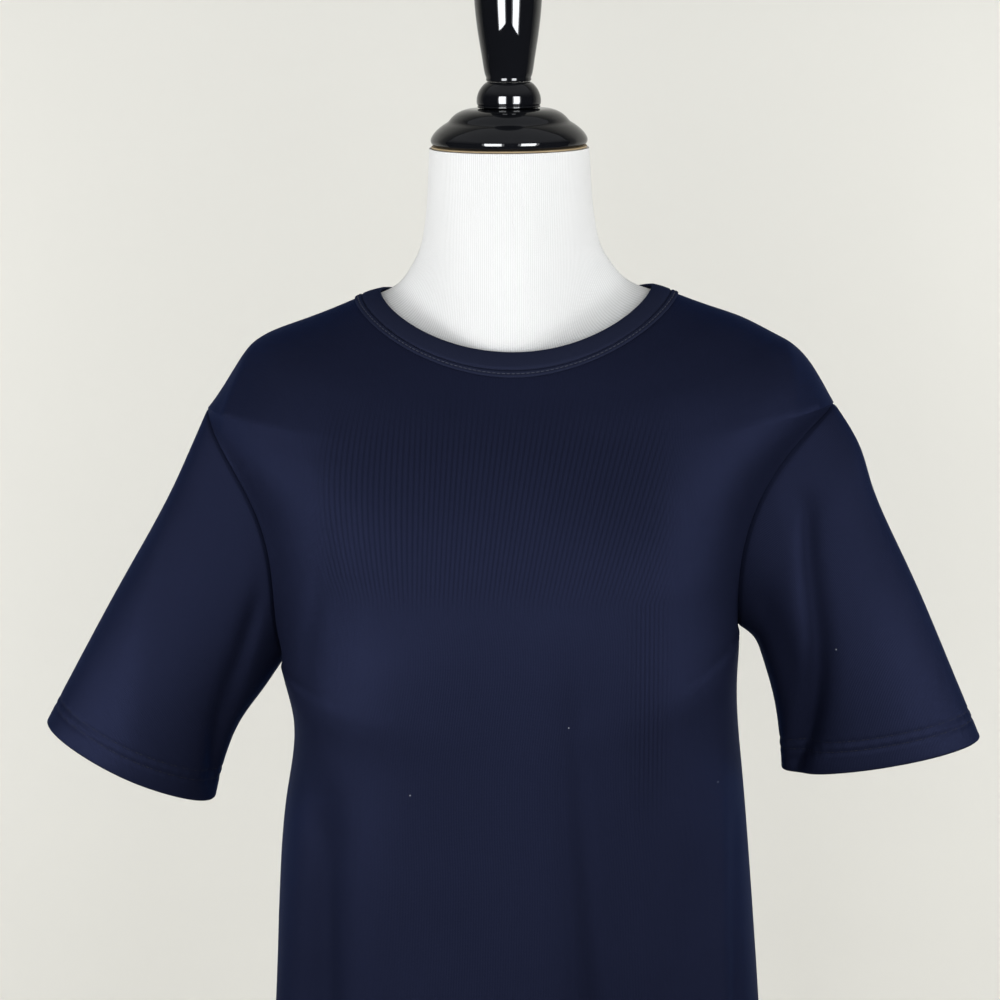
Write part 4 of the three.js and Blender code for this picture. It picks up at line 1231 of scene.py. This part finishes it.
def rounded(profile, passes=2):
    # each pass cuts every corner between a quarter and three quarters of its two sides
    line = np.array(profile, float)
    for _ in range(passes):
        cut = np.stack([mix(line[:-1], line[1:], 0.25), mix(line[:-1], line[1:], 0.75)], 1)
        line = np.concatenate([line[:1], cut.reshape(-1, 2), line[-1:]])
    return line


def turnedPiece(name, profile, material, slotName, node, passes=2):
    # a profile of radius and height carried round the cap's axis, x = r sin a, y = -r cos a
    line = rounded(profile, passes)
    radius, height = line[1:-1, 0:1], line[1:-1, 1:2]
    angle = np.linspace(0, 2 * math.pi, turnedSteps + 1)[None, :]
    rings = stack(radius * np.sin(angle), -radius * np.cos(angle), height)[:, :-1]
    low, high = line[0, 1], line[-1, 1]
    axis = np.array([[0, 0, low], [0, 0, high], [0, 0, (low + high) / 2]])
    turn = np.array([
        [1, 0, 0], [0, math.cos(tilt), math.sin(tilt)], [0, -math.sin(tilt), math.cos(tilt)]])
    place = np.array([cap["x"], cap["y"], cap["z"]])
    axis = axis @ turn + place
    uv = np.stack(np.broadcast_arrays(angle, height), -1)
    piece = tubePiece(name, rings @ turn + place, uv, material, axis[:2], axis[2])
    return placed(piece, slotName, node)


def sharpened(points, radius):
    # doubles each inner corner, radius to each side, so that rounding leaves it crisp
    line = np.array(points, float)
    before = unit(line[:-2] - line[1:-1])
    after = unit(line[2:] - line[1:-1])
    pair = np.stack([line[1:-1] + before * radius, line[1:-1] + after * radius], 1)
    return np.concatenate([line[:1], pair.reshape(-1, 2), line[-1:]])


turnedPiece("cap_seat_edge", sharpened([[0, 0.3], [54.4, 0.3], [54.4, 1.5], [0, 1.5]], 0.2),
            materials["edge"], "seat_edge", "cap_seat", passes=1)
lacquerProfiles = {
    # radius and height over the form's top
    "neck_cap": [
        [0, 1.8], [51.6, 1.8], [52.6, 1.8], [54.3, 3.2], [55, 5.4], [54.2, 7.9], [51.4, 11.7],
        [46.6, 15.6], [42.7, 17.8], [41.3, 19.4], [39.8, 21.2], [36.5, 23.9], [31.5, 26.1],
        [26, 27], [14, 27], [0, 27]],
    "finial_collar": [
        [0, 27.3], [19.4, 27.3], [20.4, 27.3], [21.6, 27.6], [22, 28.2], [21.8, 28.8], [21.3, 29],
        [21.4, 29.2], [22.1, 29.6], [22.4, 31], [22.4, 32.5], [22.2, 34.6], [21.4, 37.4],
        [20, 40.2], [18, 42.7], [16.4, 44.1], [15, 44.9], [14, 44.9], [0, 44.9]],
    "finial": [
        [0, 45.2], [14, 45.2], [14.8, 45.2], [15.6, 45.8], [15.8, 46.6], [15.4, 47.6],
        [16.3, 49.5], [17.1, 53], [18.6, 63], [20.3, 73], [21.7, 83], [22.7, 92], [23.4, 102],
        [23.9, 110], [23.9, 117], [22.6, 124.5], [18.8, 130.6], [11.5, 134.2], [4, 135], [0, 135]],
}
lacquered = [
    turnedPiece(node + "_lacquer", profile, materials["lacquer"], "gloss_black", node)
    for node, profile in lacquerProfiles.items()
]
for node in ("pole_plate", "pole", "pole_socket", "base"):
    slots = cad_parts[node].data.materials
    slots.clear()
    slots.append(materials["stand"])
print("turned parts made")

studio = {
    "wall": (0.742, 0.725, 0.672, 1),
    "wallBehind": 0.8,                     # metres behind the stand's middle
    "wallAim": (0, 0.8, 1.2),              # where the wall's lamps point
    "floor": (0.64, 0.63, 0.61, 1),
    "floorGlow": 0.42,                     # evens out the floor beyond the windows' light
    "reach": 4,                            # half width of the floor and wall
    "world": (0.95, 0.97, 1.0, 1),
    "worldStrength": 0.07,
    "ceiling": 0.5,                        # what the lacquer and the satin yarn mirror from above
    "backdrop": (0.80, 0.80, 0.785, 1),    # what the camera sees past the floor
    "daylight": (0.95, 0.975, 1.0),
    "warm": (1.0, 0.985, 0.95),
}


def plainMaterial(name, colour, **values):
    # a painted surface with a faint cloudy tone
    material, tree, shader = newMaterial(name, 0.95, Specular_IOR_Level=0.1, **values)
    tone = placeGroup(tree, yarnTone, Place=objectPlace(tree), Cloud=1.5)
    darker, lighter = (tuple(c * share for c in colour[:3]) + (1,) for share in (0.97, 1.02))
    base = colourMix(tree, tone.outputs["Cloud"], darker, lighter)
    tree.links.new(base, shader.inputs["Base Color"])
    return material


def stagePiece(name, corners, material):
    mesh = bpy.data.meshes.new(name)
    mesh.from_pydata(corners, [], [(0, 1, 2, 3)])
    mesh.materials.append(material)
    piece = newObject(name, mesh)
    return piece


def shaderMix(tree, share, first, second):
    node = tree.nodes.new("ShaderNodeMixShader")
    for socket, value in zip(node.inputs, (share, first, second)):
        tree.links.new(value, socket)
    return node.outputs[0]


far, behind = studio["reach"], studio["wallBehind"]
floor = stagePiece(
    "floor", [(-far, -far, 0), (far, -far, 0), (far, far, 0), (-far, far, 0)],
    plainMaterial("paleFloor", studio["floor"], Emission_Color=studio["floor"],
                  Emission_Strength=studio["floorGlow"]))
floor.visible_glossy = False    # the lacquer mirrors the windows, the wall and the ceiling
wall = stagePiece(
    "wall", [(-far, behind, 0), (far, behind, 0), (far, behind, far), (-far, behind, far)],
    plainMaterial("paleWall", studio["wall"]))
# the wall is clear from behind, so that the back of the garment can be seen
wallTree = wall.data.materials[0].node_tree
fromBehind = wallTree.nodes.new("ShaderNodeNewGeometry").outputs["Backfacing"]
clear = wallTree.nodes.new("ShaderNodeBsdfTransparent").outputs[0]
painted = wallTree.nodes["Principled BSDF"].outputs[0]
wallTree.links.new(shaderMix(wallTree, fromBehind, painted, clear),
                   wallTree.nodes["Material Output"].inputs[0])

world = bpy.data.worlds.new("softRoom")
world.use_nodes = True
worldTree = world.node_tree


def skyShader(node, colour, strength):
    feed(worldTree, node.inputs["Color"], colour)
    feed(worldTree, node.inputs["Strength"], strength)
    return node.outputs[0]


# the room lights all, shiny things mirror a ceiling that brightens overhead, and the camera sees
# the backdrop
room = skyShader(worldTree.nodes["Background"], studio["world"], studio["worldStrength"])
upward = axesOf(worldTree, worldTree.nodes.new("ShaderNodeTexCoord").outputs["Generated"])[2]
ceiling = skyShader(worldTree.nodes.new("ShaderNodeBackground"), studio["world"],
                    rangeNode(worldTree, upward, 0.25, 0.75, 0.03, studio["ceiling"]))
backdrop = skyShader(worldTree.nodes.new("ShaderNodeBackground"), studio["backdrop"], 1.0)
ray = worldTree.nodes.new("ShaderNodeLightPath")
sky = shaderMix(worldTree, ray.outputs["Is Glossy Ray"], room, ceiling)
sky = shaderMix(worldTree, ray.outputs["Is Camera Ray"], sky, backdrop)
worldTree.links.new(sky, worldTree.nodes["World Output"].inputs[0])
bpy.context.scene.world = world

lamps = {
    # two tall windows in front with the camera between them, a low lamp at each side, and the
    # bright panes of the windows
    "leftWindow": dict(azimuth=-20, reach=2.0, width=1.15, height=1.55, middle=1.0, power=18.6),
    "rightWindow": dict(azimuth=31, reach=2.0, width=1.1, height=1.55, middle=1.0, power=18.6),
    "lowLeft": dict(azimuth=-62, reach=1.7, width=0.6, height=0.6, middle=0.5, power=15),
    "lowRight": dict(azimuth=74, reach=1.7, width=0.5, height=0.6, middle=0.65, power=11),
    "leftPane": dict(azimuth=-20, reach=1.95, width=0.85, height=1.5, middle=1.0, power=130),
    "rightPane": dict(azimuth=31, reach=1.95, width=0.75, height=1.5, middle=1.0, power=115),
}
wallLamps = {
    "wallLeft": dict(place=(-1.25, 0.05, 1.25), width=0.4, height=1.2, power=2.5),
    "wallRight": dict(place=(1.25, 0.05, 1.25), width=0.4, height=1.2, power=3.1),
}


def addLamp(name, given, colour):
    data = bpy.data.lights.new(name, "AREA")
    data.shape = "RECTANGLE"
    data.size, data.size_y = given["width"], given["height"]
    data.energy = given["power"]
    data.color = colour
    lamp = newObject(name, data)
    lamp.visible_camera = False
    return lamp


def turnTowards(thing, direction):
    thing.rotation_mode = "QUATERNION"
    thing.rotation_quaternion = direction.to_track_quat("-Z", "Y")


def linkLamps(names, state):
    # the lamps light the lacquered pieces alone, or all but those
    group = bpy.data.collections.new("lacquered" + state.title())
    for piece in lacquered:
        group.objects.link(piece)
    for entry in group.collection_objects:
        entry.light_linking.link_state = state
    for name in names:
        bpy.data.objects[name].light_linking.receiver_collection = group


for name, given in lamps.items():
    # upright on a circle round the garment: reach (sin a, -cos a)
    lamp = addLamp(name, given, studio["daylight"])
    a = math.radians(given["azimuth"])
    lamp.location = (given["reach"] * math.sin(a), -given["reach"] * math.cos(a), given["middle"])
    lamp.rotation_euler = (math.pi / 2, 0, a)
    lamp.visible_diffuse = not name.endswith("Pane")
linkLamps(("leftPane", "rightPane"), "INCLUDE")
linkLamps(("lowLeft", "lowRight"), "EXCLUDE")
for name, given in wallLamps.items():
    lamp = addLamp(name, given, studio["warm"])
    lamp.location = given["place"]
    turnTowards(lamp, Vector(studio["wallAim"]) - lamp.location)
    lamp.visible_glossy = False

view = {
    "azimuth": 3.5,
    "elevation": 7.0,
    "distance": 1.300,
    "aim": (-0.0126, 0.0, 0.749),
    "lens": 64.98,
    "sensor": 36,
}


def addCamera():
    # distance (sin a cos e, -cos a cos e, sin e) from the point it is aimed at
    a, e = math.radians(view["azimuth"]), math.radians(view["elevation"])
    back = Vector((math.sin(a) * math.cos(e), -math.cos(a) * math.cos(e), math.sin(e)))
    data = bpy.data.cameras.new("camera")
    data.lens = view["lens"]
    data.sensor_width = view["sensor"]
    camera = newObject("camera", data)
    camera.location = Vector(view["aim"]) + back * view["distance"]
    turnTowards(camera, -back)
    bpy.context.scene.camera = camera


addCamera()
bpy.context.scene.view_settings.view_transform = "Standard"    # plain sRGB, true blacks and whites
print("studio made")
